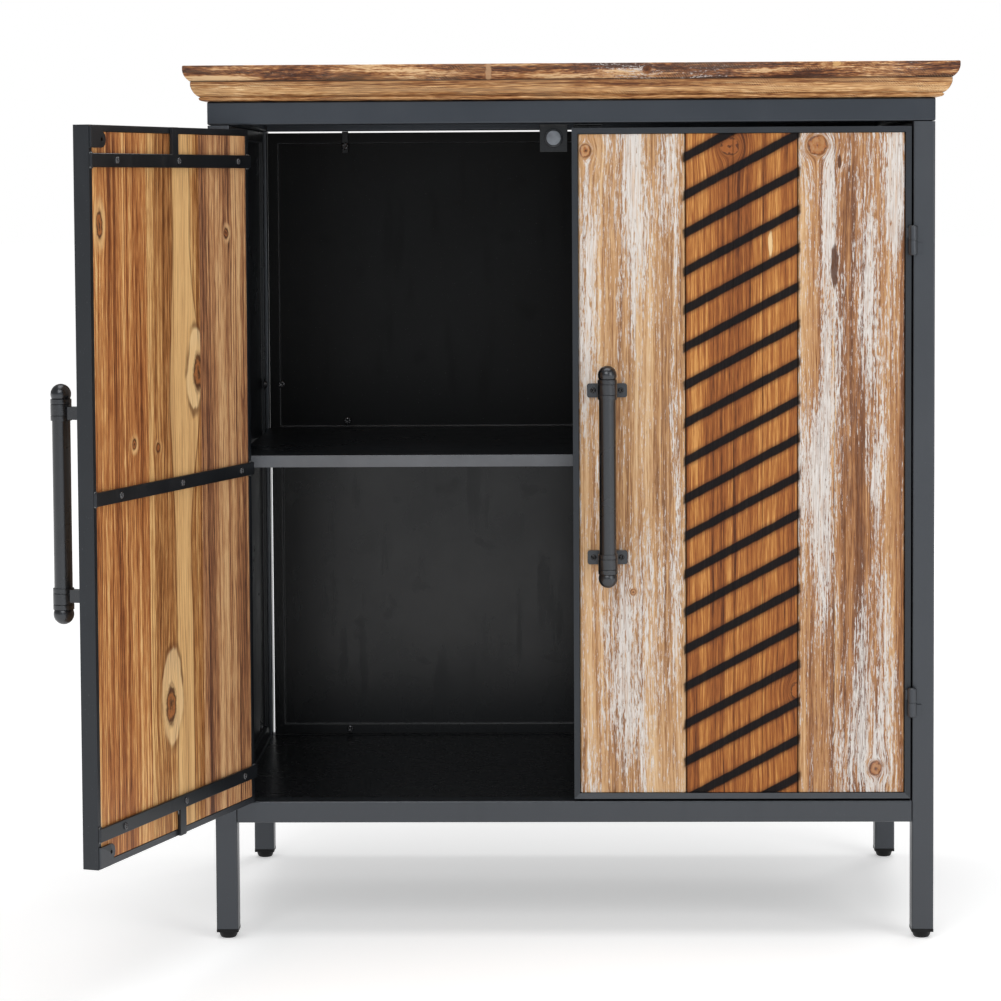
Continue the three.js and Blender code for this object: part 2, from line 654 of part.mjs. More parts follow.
// The turned bar, its middle at height 0.
function makeGrip() {
  const reach = Math.sqrt(GRIP_BALL_RADIUS ** 2 - GRIP_NECK_RADIUS ** 2);
  const upper = [
    [GRIP_RADIUS, GRIP_NECK_START],
    [GRIP_NECK_RADIUS, GRIP_NECK_START],
    ...ballProfile(GRIP_BALL_CENTRE, GRIP_BALL_CENTRE - reach),
  ];
  const lower = upper.map(([radius, height]) => [radius, -height]).reverse();
  return turned([...lower, ...upper]);
}

// A collar's outline with a fine groove near each end.
function collarProfile() {
  const half = COLLAR_HEIGHT / 2;
  const points = [[0, -half], [COLLAR_RADIUS, -half]];
  for (const height of [-COLLAR_GROOVE_HEIGHT, COLLAR_GROOVE_HEIGHT]) {
    points.push([COLLAR_RADIUS, height - COLLAR_GROOVE_DEPTH]);
    points.push([COLLAR_RADIUS - COLLAR_GROOVE_DEPTH, height]);
    points.push([COLLAR_RADIUS, height + COLLAR_GROOVE_DEPTH]);
  }
  points.push([COLLAR_RADIUS, half], [0, half]);
  return points;
}

// An ear plate screwed to the plank, an arm, and a collar round the bar. The bar's axis is at 0,
// and the collar sits towards the bar's end, which is up or down as way is 1 or -1.
function makeBracket(way) {
  const plankFace = HANDLE_STANDOFF + PLANK_RECESS;
  const earBack = plankFace - GAP;
  const earFront = earBack - EAR_THICKNESS;
  const earOutline = rectangle(-EAR_LENGTH / 2, -EAR_HEIGHT / 2, EAR_LENGTH / 2, EAR_HEIGHT / 2, EAR_CORNER);
  const ear = plate(earOutline, earFront, EAR_THICKNESS);
  const arm = block([-ARM_WIDTH / 2, 0, -ARM_HEIGHT / 2], [ARM_WIDTH / 2, earBack - 1, ARM_HEIGHT / 2]);
  const collar = turned(collarProfile()).translate(0, 0, way * COLLAR_SHIFT);
  const bore = turned([
    [0, -COLLAR_HEIGHT],
    [COLLAR_BORE, -COLLAR_HEIGHT],
    [COLLAR_BORE, COLLAR_HEIGHT],
    [0, COLLAR_HEIGHT],
  ]);
  return cut(join(ear, arm, collar), bore);
}

function makeHandle(door, name, side) {
  const x = -side * (FREE_EDGE - HANDLE_FROM_EDGE);
  const y = FACE_Y - HANDLE_STANDOFF;
  const grip = add(door, `${name}_handle_grip`, makeGrip(), LOOKS.handleSteel);
  grip.position.set(x, y, HANDLE_HEIGHT);
  for (const [level, way] of [['upper', 1], ['lower', -1]]) {
    const bracket = add(door, `${name}_handle_bracket_${level}`, makeBracket(way), LOOKS.handleSteel);
    bracket.position.set(x, y, HANDLE_HEIGHT + (way * BRACKET_SPACING) / 2);
  }
}

function makeDoor(name, side, openAngle) {
  const door = new THREE.Group();
  door.position.set(side * HINGE_X, HINGE_Y, 0);
  door.rotation.z = side * openAngle;
  sideboard.add(door);
  add(door, `${name}_frame`, makeDoorFrame(side), LOOKS.frameSteel);
  makePlanks(door, name, side);
  const straps = [
    ['upper', DOOR_TOP - STRAP_INSET, DOOR_TOP],
    ['middle', DOOR_BOTTOM + DOOR_HEIGHT / 2, undefined],
    ['lower', DOOR_BOTTOM + STRAP_INSET, DOOR_BOTTOM],
  ];
  for (const [level, height, stubEnd] of straps) {
    add(door, `${name}_strap_${level}`, makeStrap(side, height, stubEnd), LOOKS.frameSteel);
  }
  makeHandle(door, name, side);
  for (const [level, height] of Object.entries(HINGE_HEIGHTS)) {
    const knuckle = add(door, `${name}_hinge_${level}`, makeHingeKnuckle(side), LOOKS.frameSteel);
    knuckle.position.z = height + GAP;
  }
}

makeTopPanel();
makeMouldings();
makeTopRails();
makeLowerRails();
makeLegsAndFeet();
makePanels();
makeFloorAndShelf();
makeCatch('left', -1);
makeCatch('right', 1);
makeHingeSockets('left', -1);
makeHingeSockets('right', 1);
makeDoor('door_left', -1, LEFT_DOOR_OPEN);
makeDoor('door_right', 1, 0);

export default sideboard;
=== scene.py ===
"""Looks of the two-door sideboard: wood, steel, fixings, stage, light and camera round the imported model.

Metres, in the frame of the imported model: +Z up, the doors face -Y. At rest the left door is open.
"""
import json
import math
import random

import bpy
from mathutils import Matrix, Vector


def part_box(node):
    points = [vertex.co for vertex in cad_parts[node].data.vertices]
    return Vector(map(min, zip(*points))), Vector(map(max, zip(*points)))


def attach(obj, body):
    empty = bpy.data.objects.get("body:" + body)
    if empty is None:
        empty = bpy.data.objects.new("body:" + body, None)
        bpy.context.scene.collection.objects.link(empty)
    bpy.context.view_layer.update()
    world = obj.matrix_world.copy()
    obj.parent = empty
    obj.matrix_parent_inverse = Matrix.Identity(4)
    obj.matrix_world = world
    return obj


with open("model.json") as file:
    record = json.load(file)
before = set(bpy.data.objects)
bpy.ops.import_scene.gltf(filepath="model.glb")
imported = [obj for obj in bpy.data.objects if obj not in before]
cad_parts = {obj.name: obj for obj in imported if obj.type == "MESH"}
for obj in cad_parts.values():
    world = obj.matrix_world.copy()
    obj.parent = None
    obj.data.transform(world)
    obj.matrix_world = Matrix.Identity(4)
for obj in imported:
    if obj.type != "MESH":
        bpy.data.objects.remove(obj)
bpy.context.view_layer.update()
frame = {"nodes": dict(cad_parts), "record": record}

MM = 0.001
NODES = frame["nodes"]
RECORD = frame["record"]
SIDES = {"left": -1, "right": 1}


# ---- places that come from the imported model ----

def joint(name):
    return next(j for j in RECORD["behaviour"]["joints"] if j["name"] == name)


HINGE = Vector(joint("door_left_hinge")["pos_m"])
DOOR_OPEN = math.radians(-joint("door_left_hinge")["range_deg"][0])
OPENED = Matrix.Translation(HINGE) @ Matrix.Rotation(-DOOR_OPEN, 4, "Z") @ Matrix.Translation(-HINGE)


def turned_by(degrees, axis):
    return Matrix.Rotation(math.radians(degrees), 4, axis)


def middle(node):
    low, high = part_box(node)
    return (low + high) / 2


CENTRE_LEFT, CENTRE_RIGHT = (corner.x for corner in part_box("door_right_plank_centre"))
CENTRE_MIDDLE = (CENTRE_LEFT + CENTRE_RIGHT) / 2
PLANK_MIDDLE_DEPTH = middle("door_right_plank_centre").y

# The diagonal grooves of the centre planks: their distance in height, their slope, and the height
# of one of them at the plank's middle. They are the numbers of the CAD source.
GROOVE_PITCH = 38.8 * MM
GROOVE_ANGLE = math.radians(28.2)
GROOVE_FIRST = 835.8 * MM


# ---- node trees ----

def srgb(red, green, blue):
    """A colour given in 0 to 255 display values, as the linear values that shaders use."""
    def linear(v):
        v /= 255
        return v / 12.92 if v <= 0.04045 else ((v + 0.055) / 1.055) ** 2.4
    return (linear(red), linear(green), linear(blue), 1.0)


def tones(*colours):
    return [srgb(*colour) for colour in colours]


def shaded(colour, share, more=0.0):
    """A linear colour times share, plus more."""
    return tuple(min(1.0, c * share + more) for c in colour[:3]) + (1.0,)


class Value:
    """A number in a node tree, with ordinary arithmetic."""

    def __init__(self, shade, socket):
        self.shade, self.socket = shade, socket

    def math(self, operation, *others):
        return self.shade.math(operation, self, *others)

    def __add__(self, other):
        return self.math("ADD", other)

    def __sub__(self, other):
        return self.math("SUBTRACT", other)

    def __mul__(self, other):
        return self.math("MULTIPLY", other)

    def __truediv__(self, other):
        return self.math("DIVIDE", other)

    def __abs__(self):
        return self.math("ABSOLUTE")

    def smooth(self, start, end):
        """0 below start, 1 above end, and smooth between them. It falls where end is below start."""
        return self.shade.map_range(self, start, end, "SMOOTHSTEP")

    def linear(self, start, end):
        return self.shade.map_range(self, start, end, "LINEAR")


class Shade:
    """One material under construction."""

    def __init__(self, name):
        self.material = bpy.data.materials.new(name)
        self.material.use_nodes = True
        self.tree = self.material.node_tree
        self.tree.nodes.clear()
        self.shader = self.node("ShaderNodeBsdfPrincipled")
        output = self.node("ShaderNodeOutputMaterial")
        self.tree.links.new(self.shader.outputs[0], output.inputs[0])

    def node(self, kind, **settings):
        made = self.tree.nodes.new(kind)
        for key, value in settings.items():
            setattr(made, key, value)
        return made

    def put(self, socket, value):
        if isinstance(value, Value):
            value = value.socket
        if isinstance(value, bpy.types.NodeSocket):
            self.tree.links.new(value, socket)
        else:
            socket.default_value = value

    def math(self, operation, *values):
        made = self.node("ShaderNodeMath", operation=operation)
        for socket, value in zip(made.inputs, values):
            self.put(socket, value)
        return Value(self, made.outputs[0])

    def map_range(self, value, start, end, kind):
        made = self.node("ShaderNodeMapRange", interpolation_type=kind)
        for socket, v in zip(made.inputs, (value, start, end, 0.0, 1.0)):
            self.put(socket, v)
        return Value(self, made.outputs[0])

    def place(self):
        return self.split(self.node("ShaderNodeTexCoord").outputs["Object"])

    def split(self, vector):
        made = self.node("ShaderNodeSeparateXYZ")
        self.put(made.inputs[0], vector)
        return tuple(Value(self, socket) for socket in made.outputs)

    def join(self, x, y, z):
        made = self.node("ShaderNodeCombineXYZ")
        for socket, value in zip(made.inputs, (x, y, z)):
            self.put(socket, value)
        return made.outputs[0]

    def noise(self, x, y, z, detail=2.0, roughness=0.5):
        made = self.node("ShaderNodeTexNoise")
        self.put(made.inputs["Vector"], self.join(x, y, z))
        for key, value in (("Scale", 1.0), ("Detail", detail), ("Roughness", roughness)):
            self.put(made.inputs[key], value)
        return Value(self, made.outputs["Fac"])

    def ramp(self, factor, colours):
        """Colours at even steps along factor."""
        made = self.node("ShaderNodeValToRGB")
        self.put(made.inputs[0], factor)
        stops = made.color_ramp.elements
        while len(stops) < len(colours):
            stops.new(0.5)
        for i, colour in enumerate(colours):
            stops[i].position = i / (len(colours) - 1)
            stops[i].color = colour
        return made.outputs["Color"]

    def mix(self, factor, a, b):
        made = self.node("ShaderNodeMix", data_type="RGBA")
        for index, value in ((0, factor), (6, a), (7, b)):
            self.put(made.inputs[index], value)
        return made.outputs[2]

    def finish(self, colour, roughness, height=None, relief=0.0, metallic=0.0, specular=0.5):
        """relief is how deep in metres a height of 0 to 1 is."""
        self.put(self.shader.inputs["Base Color"], colour)
        self.put(self.shader.inputs["Roughness"], roughness)
        self.shader.inputs["Metallic"].default_value = metallic
        self.put(self.shader.inputs["Specular IOR Level"], specular)
        if height is not None:
            bump = self.node("ShaderNodeBump")
            bump.inputs["Strength"].default_value = 1.0
            bump.inputs["Distance"].default_value = relief
            self.put(bump.inputs["Height"], height)
            self.tree.links.new(bump.outputs[0], self.shader.inputs["Normal"])
        return self.material


# ---- wood ----

def door_place(side):
    """(distance from the cabinet's middle plane, height) on a door, as if it were shut."""
    def place(shade):
        point = shade.node("ShaderNodeTexCoord").outputs["Object"]
        if side == "left":
            turned = shade.node("ShaderNodeVectorRotate", rotation_type="Z_AXIS")
            shade.put(turned.inputs["Vector"], point)
            turned.inputs["Center"].default_value = HINGE
            turned.inputs["Angle"].default_value = DOOR_OPEN
            point = turned.outputs[0]
        x, y, z = shade.split(point)
        return abs(x), z
    return place


def level_place(across, along):
    """The axes, 0 to 2, that run across and along the grain of a board."""
    def place(shade):
        point = shade.place()
        return point[across], point[along]
    return place


ALONG_X, ALONG_Y = level_place(2, 0), level_place(2, 1)
BOARDS_IN_Y = level_place(1, 0)


class Board:
    """Wood whose grain runs along the second coordinate of place, built up coat by coat.

    Knots are (across, along, radius, stretch along the grain). strips are the places of glue lines.
    scale widens the figure and short shortens its streaks.
    """

    def __init__(self, name, place, palette, seed, knots=(), strips=(), scale=1.0, short=1.0):
        self.shade = Shade(name)
        self.across, self.along = place(self.shade)
        self.palette, self.knots, self.strips, self.short = palette, knots, strips, short
        self.layer = seed
        for edge in strips:
            self.layer = self.shade.math("GREATER_THAN", self.across, edge) * 3.7 + self.layer
        wander = (self.mottle(5, 1.6 * short) - 0.5) * (17 * MM)
        ripple = (self.mottle(45, 8 * short) - 0.5) * (2.6 * MM)
        self.grain = (self.flow_round_knots(self.across + wander + ripple)) / scale

    def mottle(self, per_across, per_along, offset=0.0, detail=2.0, roughness=0.5):
        """Noise in the plane of the board, with so many patches per metre."""
        return self.shade.noise(self.across * per_across, self.layer + offset, self.along * per_along,
                                detail, roughness)

    def streaks(self, per_across, per_along, offset=0.0, detail=2.0, roughness=0.5):
        """Noise that follows the grain."""
        along = self.along * (per_along * self.short)
        return self.shade.noise(self.grain * per_across, self.layer + offset, along, detail, roughness)

    def tint(self, amount, colour):
        self.colour = self.shade.mix(amount, self.colour, colour)

    def oval(self, x, z, half_width, half_length):
        """The squared distance from (x, z), which is 1 on the rim of an oval."""
        dx = (self.across - x) / half_width
        dz = (self.along - z) / half_length
        return dx * dx + dz * dz

    def flow_round_knots(self, across):
        """The grain's own cross coordinate, pushed aside by each knot. Notes the nearest knot too."""
        self.near = None
        for x, z, radius, stretch in self.knots:
            dx = self.across - x
            dz = (self.along - z) / stretch
            square = dx * dx + dz * dz
            hold = self.shade.math("DIVIDE", 1.3 * radius ** 2, square.math("MAXIMUM", radius ** 2))
            across = across - dx * hold
            reach = square.math("SQRT") / radius
            self.near = reach if self.near is None else self.near.math("MINIMUM", reach)
        return across

    def figure(self, contrast, rings, crisp=1.0, drift=(0.3, 34, 1.6), lean=0.0, lift=0.0):
        """The streaky base tone. rings is (growth rings per metre, how dark their late wood is).
        drift is (how much the tone wanders, patches per metre across, and along). lean is the tone's
        rise per metre along, and lift lightens it all."""
        broad = self.streaks(28, 0.9).linear(0.34, 0.66)
        bands = self.streaks(110, 1.5, detail=3, roughness=0.6).linear(0.3, 0.7)
        self.lines = self.streaks(360, 3.5, roughness=0.6).linear(0.28, 0.72)
        self.fibre = self.streaks(900, 34, detail=3, roughness=0.7)
        count, depth = rings
        turn = (self.grain * count + broad * 4.0 + bands * 0.8).math("FRACT")
        late = turn.smooth(0.5, 0.94) * turn.smooth(1.0, 0.97)
        hair = self.streaks(1900, 16, 7.0).linear(0.3, 0.7)
        tone = (broad * 0.28 + bands * 0.32 + self.lines * 0.4 - 0.5) * contrast + (0.54 + lift)
        tone = tone + ((self.fibre - 0.5) * 1.3 + (hair - 0.5) * 0.16) * crisp
        tone = tone - late * (self.lines * 0.8 + 0.4) * depth
        amount, patches_across, patches_along = drift
        tone = tone + (self.mottle(patches_across, patches_along, 17.0).linear(0.3, 0.7) - 0.5) * amount
        if lean:
            tone = tone + self.along * lean
        self.colour = self.shade.ramp(tone, self.palette)
        self.height = bands * 0.3 + self.lines * 0.5 + self.fibre * 0.7 + late * 0.25
        self.rough = self.fibre * 0.3
        self.shine = SHINE

    def sapwood(self, x, half, z, bulge, reach, colour):
        """A crisp pale band along the board that widens beside a knot at the height z."""
        swell = abs((self.along - z) / reach).smooth(1.0, 0.0)
        ragged = (self.mottle(12, 6, 50.0) - 0.5) * (16 * MM)
        off = abs(self.across + ragged - x - swell * (bulge * 0.5)) - swell * bulge - half
        self.tint(off.smooth(0.8 * MM, -0.8 * MM) * (self.lines * 0.6 + 0.25), colour)
        self.tint(off.smooth(-0.6 * MM, 0.6 * MM) * off.smooth(4 * MM, 0.8 * MM) * 0.55, self.palette[0])

    def teardrop(self, x, z, half_width, half_length):
        """The pale wood round a large knot, with a dark outline."""
        ragged = (self.mottle(45, 18, 52.0, detail=3) - 0.5) * 0.9
        reach = self.oval(x, z, half_width, half_length).math("SQRT") + ragged
        self.tint(reach.smooth(1.02, 0.9) * (self.lines * 0.45 + 0.3), CREAM)
        broken = self.mottle(20, 30, 54.0).smooth(0.36, 0.6) * 0.6 + 0.1
        self.tint(reach.smooth(0.88, 0.98) * reach.smooth(1.2, 1.02) * broken, self.palette[0])

    def draw_knots(self, halo=0.0):
        """Ringed knots with a broken dark outline. halo is how pale the wood round them is."""
        grit = self.mottle(150, 150, 9.0, detail=3, roughness=0.6)
        self.reach = self.near + (grit - 0.5) * 0.8
        waves = ((self.near * 6 + grit * 9).math("SINE") + 1) * 0.5
        pale_tones = [self.palette[0], KNOT_WARM, self.palette[2]]
        dark_tones = [KNOT_DARK, self.palette[0], KNOT_WARM]
        heart = self.shade.ramp(waves, dark_tones if halo else pale_tones)
        if halo:
            swirl = self.mottle(40, 14, 15.0).smooth(0.35, 0.6)
            self.tint(self.reach.smooth(2.6, 1.4) * swirl * halo, self.palette[-1])
            self.tint(self.reach.smooth(1.5, 1.0) * 0.5, self.palette[0])
        else:
            self.tint(self.reach.smooth(2.2, 1.1) * 0.4, self.palette[1])
        self.tint(self.reach.smooth(1.12, 0.9) * 0.85, heart)
        rim = self.reach.smooth(0.8, 0.97) * self.reach.smooth(1.18, 1.0)
        rim = rim * (grit.smooth(0.35, 0.6) * 0.55 + 0.15)
        self.tint(rim, KNOT_DARK)
        self.tint(self.reach.smooth(0.22, 0.1) * 0.7, KNOT_DARK)
        self.height = self.height - self.reach.smooth(0.35, 0.1) * 1.5 - rim * 0.5

    def glue_lines(self):
        for edge in self.strips:
            gaps = self.mottle(0.0, 9, 5.0).smooth(0.42, 0.56)
            line = abs(self.across - edge).smooth(0.6 * MM, 0.15 * MM) * gaps
            self.tint(line * 0.6, srgb(60, 34, 20))
            self.height = self.height - line * 1.5

    def whitewash(self, left, patches=()):
        """White paint, mostly rubbed off. left is how much remains, and patches are
        (across, along, half width, half length, how much more remains there)."""
        region = self.streaks(32, 3.4, 20.0, detail=3).linear(0.3, 0.7)
        strokes = self.streaks(420, 14, 22.0, detail=3, roughness=0.68).linear(0.28, 0.72)
        specks = self.streaks(900, 100, 25.0, detail=3, roughness=0.75).linear(0.26, 0.74)
        amount = region * 0.40 + strokes * 0.40 + specks * 0.60 + left
        for *oval, more in patches:
            amount = amount + self.oval(*oval).smooth(1.6, 0.0) * more
        lifted = self.streaks(640, 24, 28.0, detail=3, roughness=0.7).smooth(0.4, 0.52)
        cover = amount.smooth(0.83, 0.95) * (lifted * 0.5 + 0.5)
        film = amount.linear(0.4, 1.1)
        if self.knots:
            clear = self.reach.smooth(0.9, 1.6).math("MAXIMUM", 0.08)
            cover, film = cover * clear, film * clear
        self.tint(film * 0.10, srgb(222, 208, 196))
        self.tint(cover * 0.94, self.shade.ramp(self.fibre, WHITE_PAINT))
        pores = specks.smooth(0.34, 0.12) * self.lines.smooth(0.7, 0.3)
        self.tint(pores * 0.55, self.palette[0])
        self.height = self.height + cover * 0.4 - pores * 0.6
        self.rough = self.rough + cover * 0.25

    def scar(self, x, z, half_width, half_length, colour):
        ragged = (self.mottle(260, 80, 3.0, detail=3) - 0.5) * 1.2
        reach = self.oval(x, z, half_width, half_length).math("SQRT") + ragged
        inside = reach.smooth(1.12, 0.8)
        self.tint(inside * 0.9, colour)
        self.height = self.height - inside * 1.2

    def painted_light_line(self, height, half_width, strength, colour):
        """A line along the board: painted shade in a joint, gap or crease, or a painted highlight band."""
        line = abs(self.across - height).smooth(half_width, half_width * 0.2)
        self.tint(line * strength, colour)

    def saw_marks(self, strength):
        """Slanting ticks left by a blade, in patches."""
        bend = self.mottle(25, 25, 33.0) * (9 * MM)
        ticks = ((self.along + self.across * 0.9 + bend) * 2400).math("SINE").smooth(0.2, 0.9)
        where = self.mottle(110, 12, 31.0, detail=3).smooth(0.46, 0.66)
        self.tint(ticks * where * strength, self.palette[-1])
        self.height = self.height + ticks * where * 0.7

    def groove_paint(self, spilled):
        """Dark paint in the diagonal grooves, or what has spilled from them on the planks beside."""
        climb = (self.across - CENTRE_MIDDLE) * math.tan(GROOVE_ANGLE)
        steps = (self.along - climb - GROOVE_FIRST) / GROOVE_PITCH
        off = abs(steps - steps.math("ROUND")) * (GROOVE_PITCH * math.cos(GROOVE_ANGLE))
        waver = self.shade.noise(self.across * 70, 3.0, self.along * 70, detail=3)
        off = off + (waver - 0.5) * (2.2 * MM)
        cover = off.smooth(5.3 * MM, 3.2 * MM)
        stain = off.smooth(9.0 * MM, 4.4 * MM) * 0.5
        if spilled:
            spill = self.shade.noise(self.across * 90, 8.0, self.along * 90)
            beyond = abs(self.across - CENTRE_MIDDLE) - (CENTRE_RIGHT - CENTRE_LEFT) / 2
            edge = (beyond + (spill - 0.5) * (5 * MM)).smooth(4.0 * MM, 0.6 * MM)
            cover, stain = cover * edge * 0.9, stain * edge
        self.tint(stain, self.palette[0])
        self.tint(cover * 0.98, self.shade.ramp(self.fibre, GROOVE_PAINT))
        self.rough = self.rough + cover * 0.15
        self.shine = self.shade.math("SUBTRACT", SHINE, cover * 0.12)

    def finish(self, roughness, relief):
        rough = self.rough + (roughness - 0.1)
        return self.shade.finish(self.colour, rough, self.height, relief, specular=self.shine)


# Each wood's figure is (contrast, rings, crisp, drift), as Board.figure takes them.
OUTER_FIGURE = (1.5, (230.0, 0.2), 1.25)
INNER_FIGURE = (1.8, (170.0, 0.3), 1.7, (0.5, 34, 1.6))
SLAB_FIGURE = (1.5, (330.0, 0.3), 1.9, (1.2, 120, 9))
MOULDING_SIDE_FIGURE = (1.35, (330.0, 0.3), 1.9, (0.5, 90, 4))
MOULDING_FRONT_FIGURE = (1.2, (330.0, 0.3), 1.9, (0.5, 90, 4), 0.26, -0.05)
TOP_FIGURE = (1.4, (230.0, 0.2), 1.0, (0.3, 34, 2.4))


def outer_wood(name, place, palette, seed, spilled, knots=(), strips=(), wash=None, scars=()):
    board = Board(name, place, palette, seed, knots, strips)
    board.figure(*OUTER_FIGURE)
    board.draw_knots()
    board.glue_lines()
    if wash:
        board.whitewash(*wash)
    for scar in scars:
        board.scar(*scar)
    # On the centre plank, a dark line painted along each edge: painted shade in the gaps beside it.
    if not spilled:
        for edge in (CENTRE_LEFT, CENTRE_RIGHT):
            board.painted_light_line(edge, 1.8 * MM, 0.8, srgb(34, 20, 12))
    board.groove_paint(spilled)
    return board.finish(0.55, 0.3 * MM)


def inner_wood(name, place, palette, seed, knots=(), sap=None, drops=()):
    board = Board(name, place, palette, seed, knots, scale=0.85)
    board.figure(*INNER_FIGURE, lift=0.04)
    if sap:
        board.sapwood(*sap, palette[-1])
    for drop in drops:
        board.teardrop(*drop)
    board.draw_knots(halo=0.7)
    return board.finish(0.4, 0.15 * MM)


def edge_wood(name, place, palette, seed, figure, short, ticks=0.0, knots=(), wash=None, scars=(),
              lines=()):
    """The slab's edge or the moulding under it, with a painted shadow in the joint between them."""
    board = Board(name, place, palette, seed, knots, short=short)
    board.figure(*figure)
    # A dark line painted at the slab's underside: the painted shadow in the joint.
    board.painted_light_line(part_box("top_panel")[0].z, 1.5 * MM, 0.75, srgb(48, 32, 24))
    # Further painted shade and highlight lines, such as the moulding's.
    for line in lines:
        board.painted_light_line(*line)
    if knots:
        board.draw_knots()
    if ticks:
        board.saw_marks(ticks)
    if wash:
        board.whitewash(*wash)
    for scar in scars:
        board.scar(*scar)
    return board.finish(0.5, 0.5 * MM)


SHINE = 0.24   # the wood's specular level
KNOT_DARK = srgb(72, 38, 22)
KNOT_WARM = srgb(158, 92, 46)
CREAM = srgb(238, 206, 156)
# From the darkest tone of each wood to its lightest
TAN = tones((122, 80, 46), (158, 112, 70), (184, 140, 94), (200, 160, 116), (214, 182, 142))
RUSSET = tones((104, 61, 32), (146, 95, 54), (173, 124, 78), (194, 149, 101), (210, 173, 130))
HONEY = tones((76, 38, 16), (124, 68, 29), (149, 87, 40), (173, 112, 54), (202, 144, 80))
REDDISH = tones((92, 50, 28), (142, 82, 42), (172, 110, 62), (204, 146, 86), (232, 190, 132))
AMBER = tones((92, 52, 26), (140, 88, 46), (168, 114, 66), (200, 152, 94), (228, 186, 128))
UMBER = tones((80, 52, 40), (132, 86, 60), (166, 116, 78), (194, 146, 100), (220, 180, 132))
TOP_EDGE = tones((62, 32, 18), (100, 56, 30), (140, 88, 50), (184, 134, 86), (218, 182, 138))
MOULDING = tones((92, 54, 30), (142, 92, 52), (176, 128, 80), (202, 156, 106), (230, 196, 150))
WHITE_PAINT = tones((184, 175, 166), (216, 211, 206), (237, 235, 233))
GROOVE_PAINT = tones((10, 10, 12), (20, 20, 22), (36, 36, 40))
DARK_SCAR = srgb(84, 50, 32)
PALE_SCAR = srgb(228, 196, 146)

# What marks each plank, by where it is in the door: places are the distance from the cabinet's middle
# plane and the height, in metres. The right door's outer faces and the left door's inner ones follow
# the photo, and the rest is made to match.
OUTER = {
    "free_side": {
        "right": dict(
            palette=TAN, seed=1.3, knots=[(0.015, 0.812, 0.006, 1.1), (0.062, 0.36, 0.003, 1.0)],
            wash=(0.09, [(0.018, 0.66, 0.012, 0.14, 0.22), (0.066, 0.75, 0.012, 0.16, 0.22),
                         (0.03, 0.42, 0.014, 0.1, 0.16), (0.106, 0.5, 0.006, 0.30, 0.2),
                         (0.055, 0.3, 0.022, 0.12, 0.22)]),
        ),
        "left": dict(
            palette=TAN, seed=21.3, knots=[(0.07, 0.55, 0.006, 1.3)],
            wash=(0.08, [(0.08, 0.6, 0.02, 0.3, 0.25)]),
        ),
    },
    "hinge_side": {
        "right": dict(
            palette=RUSSET, seed=2.1, strips=[0.268],
            knots=[(0.2505, 0.816, 0.0095, 1.0), (0.31, 0.177, 0.006, 1.2)],
            scars=[(0.268, 0.694, 0.0036, 0.022, DARK_SCAR),
                   (0.273, 0.8, 0.002, 0.008, DARK_SCAR)],
            wash=(0.07, [(0.33, 0.77, 0.01, 0.08, 0.26), (0.262, 0.66, 0.009, 0.16, 0.24),
                         (0.3, 0.66, 0.014, 0.1, 0.2), (0.31, 0.5, 0.012, 0.08, 0.16),
                         (0.31, 0.25, 0.022, 0.13, 0.22), (0.255, 0.44, 0.012, 0.12, 0.22),
                         (0.28, 0.2, 0.02, 0.05, 0.12)]),
        ),
        "left": dict(
            palette=RUSSET, seed=23.1, knots=[(0.3, 0.4, 0.007, 1.3)],
            wash=(0.08, [(0.25, 0.5, 0.02, 0.25, 0.25)]),
        ),
    },
    "centre": {
        "right": dict(
            palette=HONEY, seed=3.4, strips=[0.165, 0.1945],
            knots=[(0.1615, 0.8155, 0.009, 1.0), (0.231, 0.257, 0.008, 1.2)],
            scars=[(0.203, 0.715, 0.0022, 0.013, PALE_SCAR)],
        ),
        "left": dict(
            palette=HONEY, seed=25.4, knots=[(0.15, 0.35, 0.008, 1.2)], strips=[0.16, 0.19],
        ),
    },
}

INNER = {
    "free_side": {
        "left": dict(palette=REDDISH, seed=49.0,
                     knots=[(0.021, 0.743, 0.0055, 2.2), (0.086, 0.5355, 0.004, 1.2)]),
        "right": dict(palette=REDDISH, seed=40.0, knots=[(0.06, 0.62, 0.007, 1.5)]),
    },
    "hinge_side": {
        "left": dict(palette=UMBER, seed=52.1, knots=[(0.293, 0.731, 0.005, 1.0)]),
        "right": dict(palette=UMBER, seed=43.1, knots=[(0.28, 0.3, 0.008, 1.6)]),
    },
    "centre": {
        "left": dict(
            palette=AMBER, seed=55.2, sap=(0.19, 0.017, 0.58, 0.017, 0.15),
            knots=[(0.226, 0.5955, 0.01, 1.6), (0.157, 0.276, 0.01, 1.7),
                   (0.136, 0.528, 0.004, 1.1)],
            drops=[(0.22, 0.6, 0.02, 0.042), (0.162, 0.283, 0.023, 0.046)],
        ),
        "right": dict(palette=AMBER, seed=46.2, sap=(0.19, 0.016, 0.45, 0.012, 0.15),
                      knots=[(0.185, 0.45, 0.009, 1.5)]),
    },
}


def plank_materials():
    """For each plank, its outer and its inner wood."""
    made = {}
    for side in SIDES:
        place = door_place(side)
        for plank in OUTER:
            name = f"{side}_{plank}"
            outer = outer_wood(f"wood_outer_{name}", place, spilled=plank != "centre", **OUTER[plank][side])
            inner = inner_wood(f"wood_inner_{name}", place, **INNER[plank][side])
            made[f"door_{side}_plank_{plank}"] = (outer, inner)
    return made


# ---- steel, plastic ----

ORANGE_PEEL = 0.03 * MM
FINE_PEEL = 0.012 * MM
SCREW_PEEL = 0.01 * MM


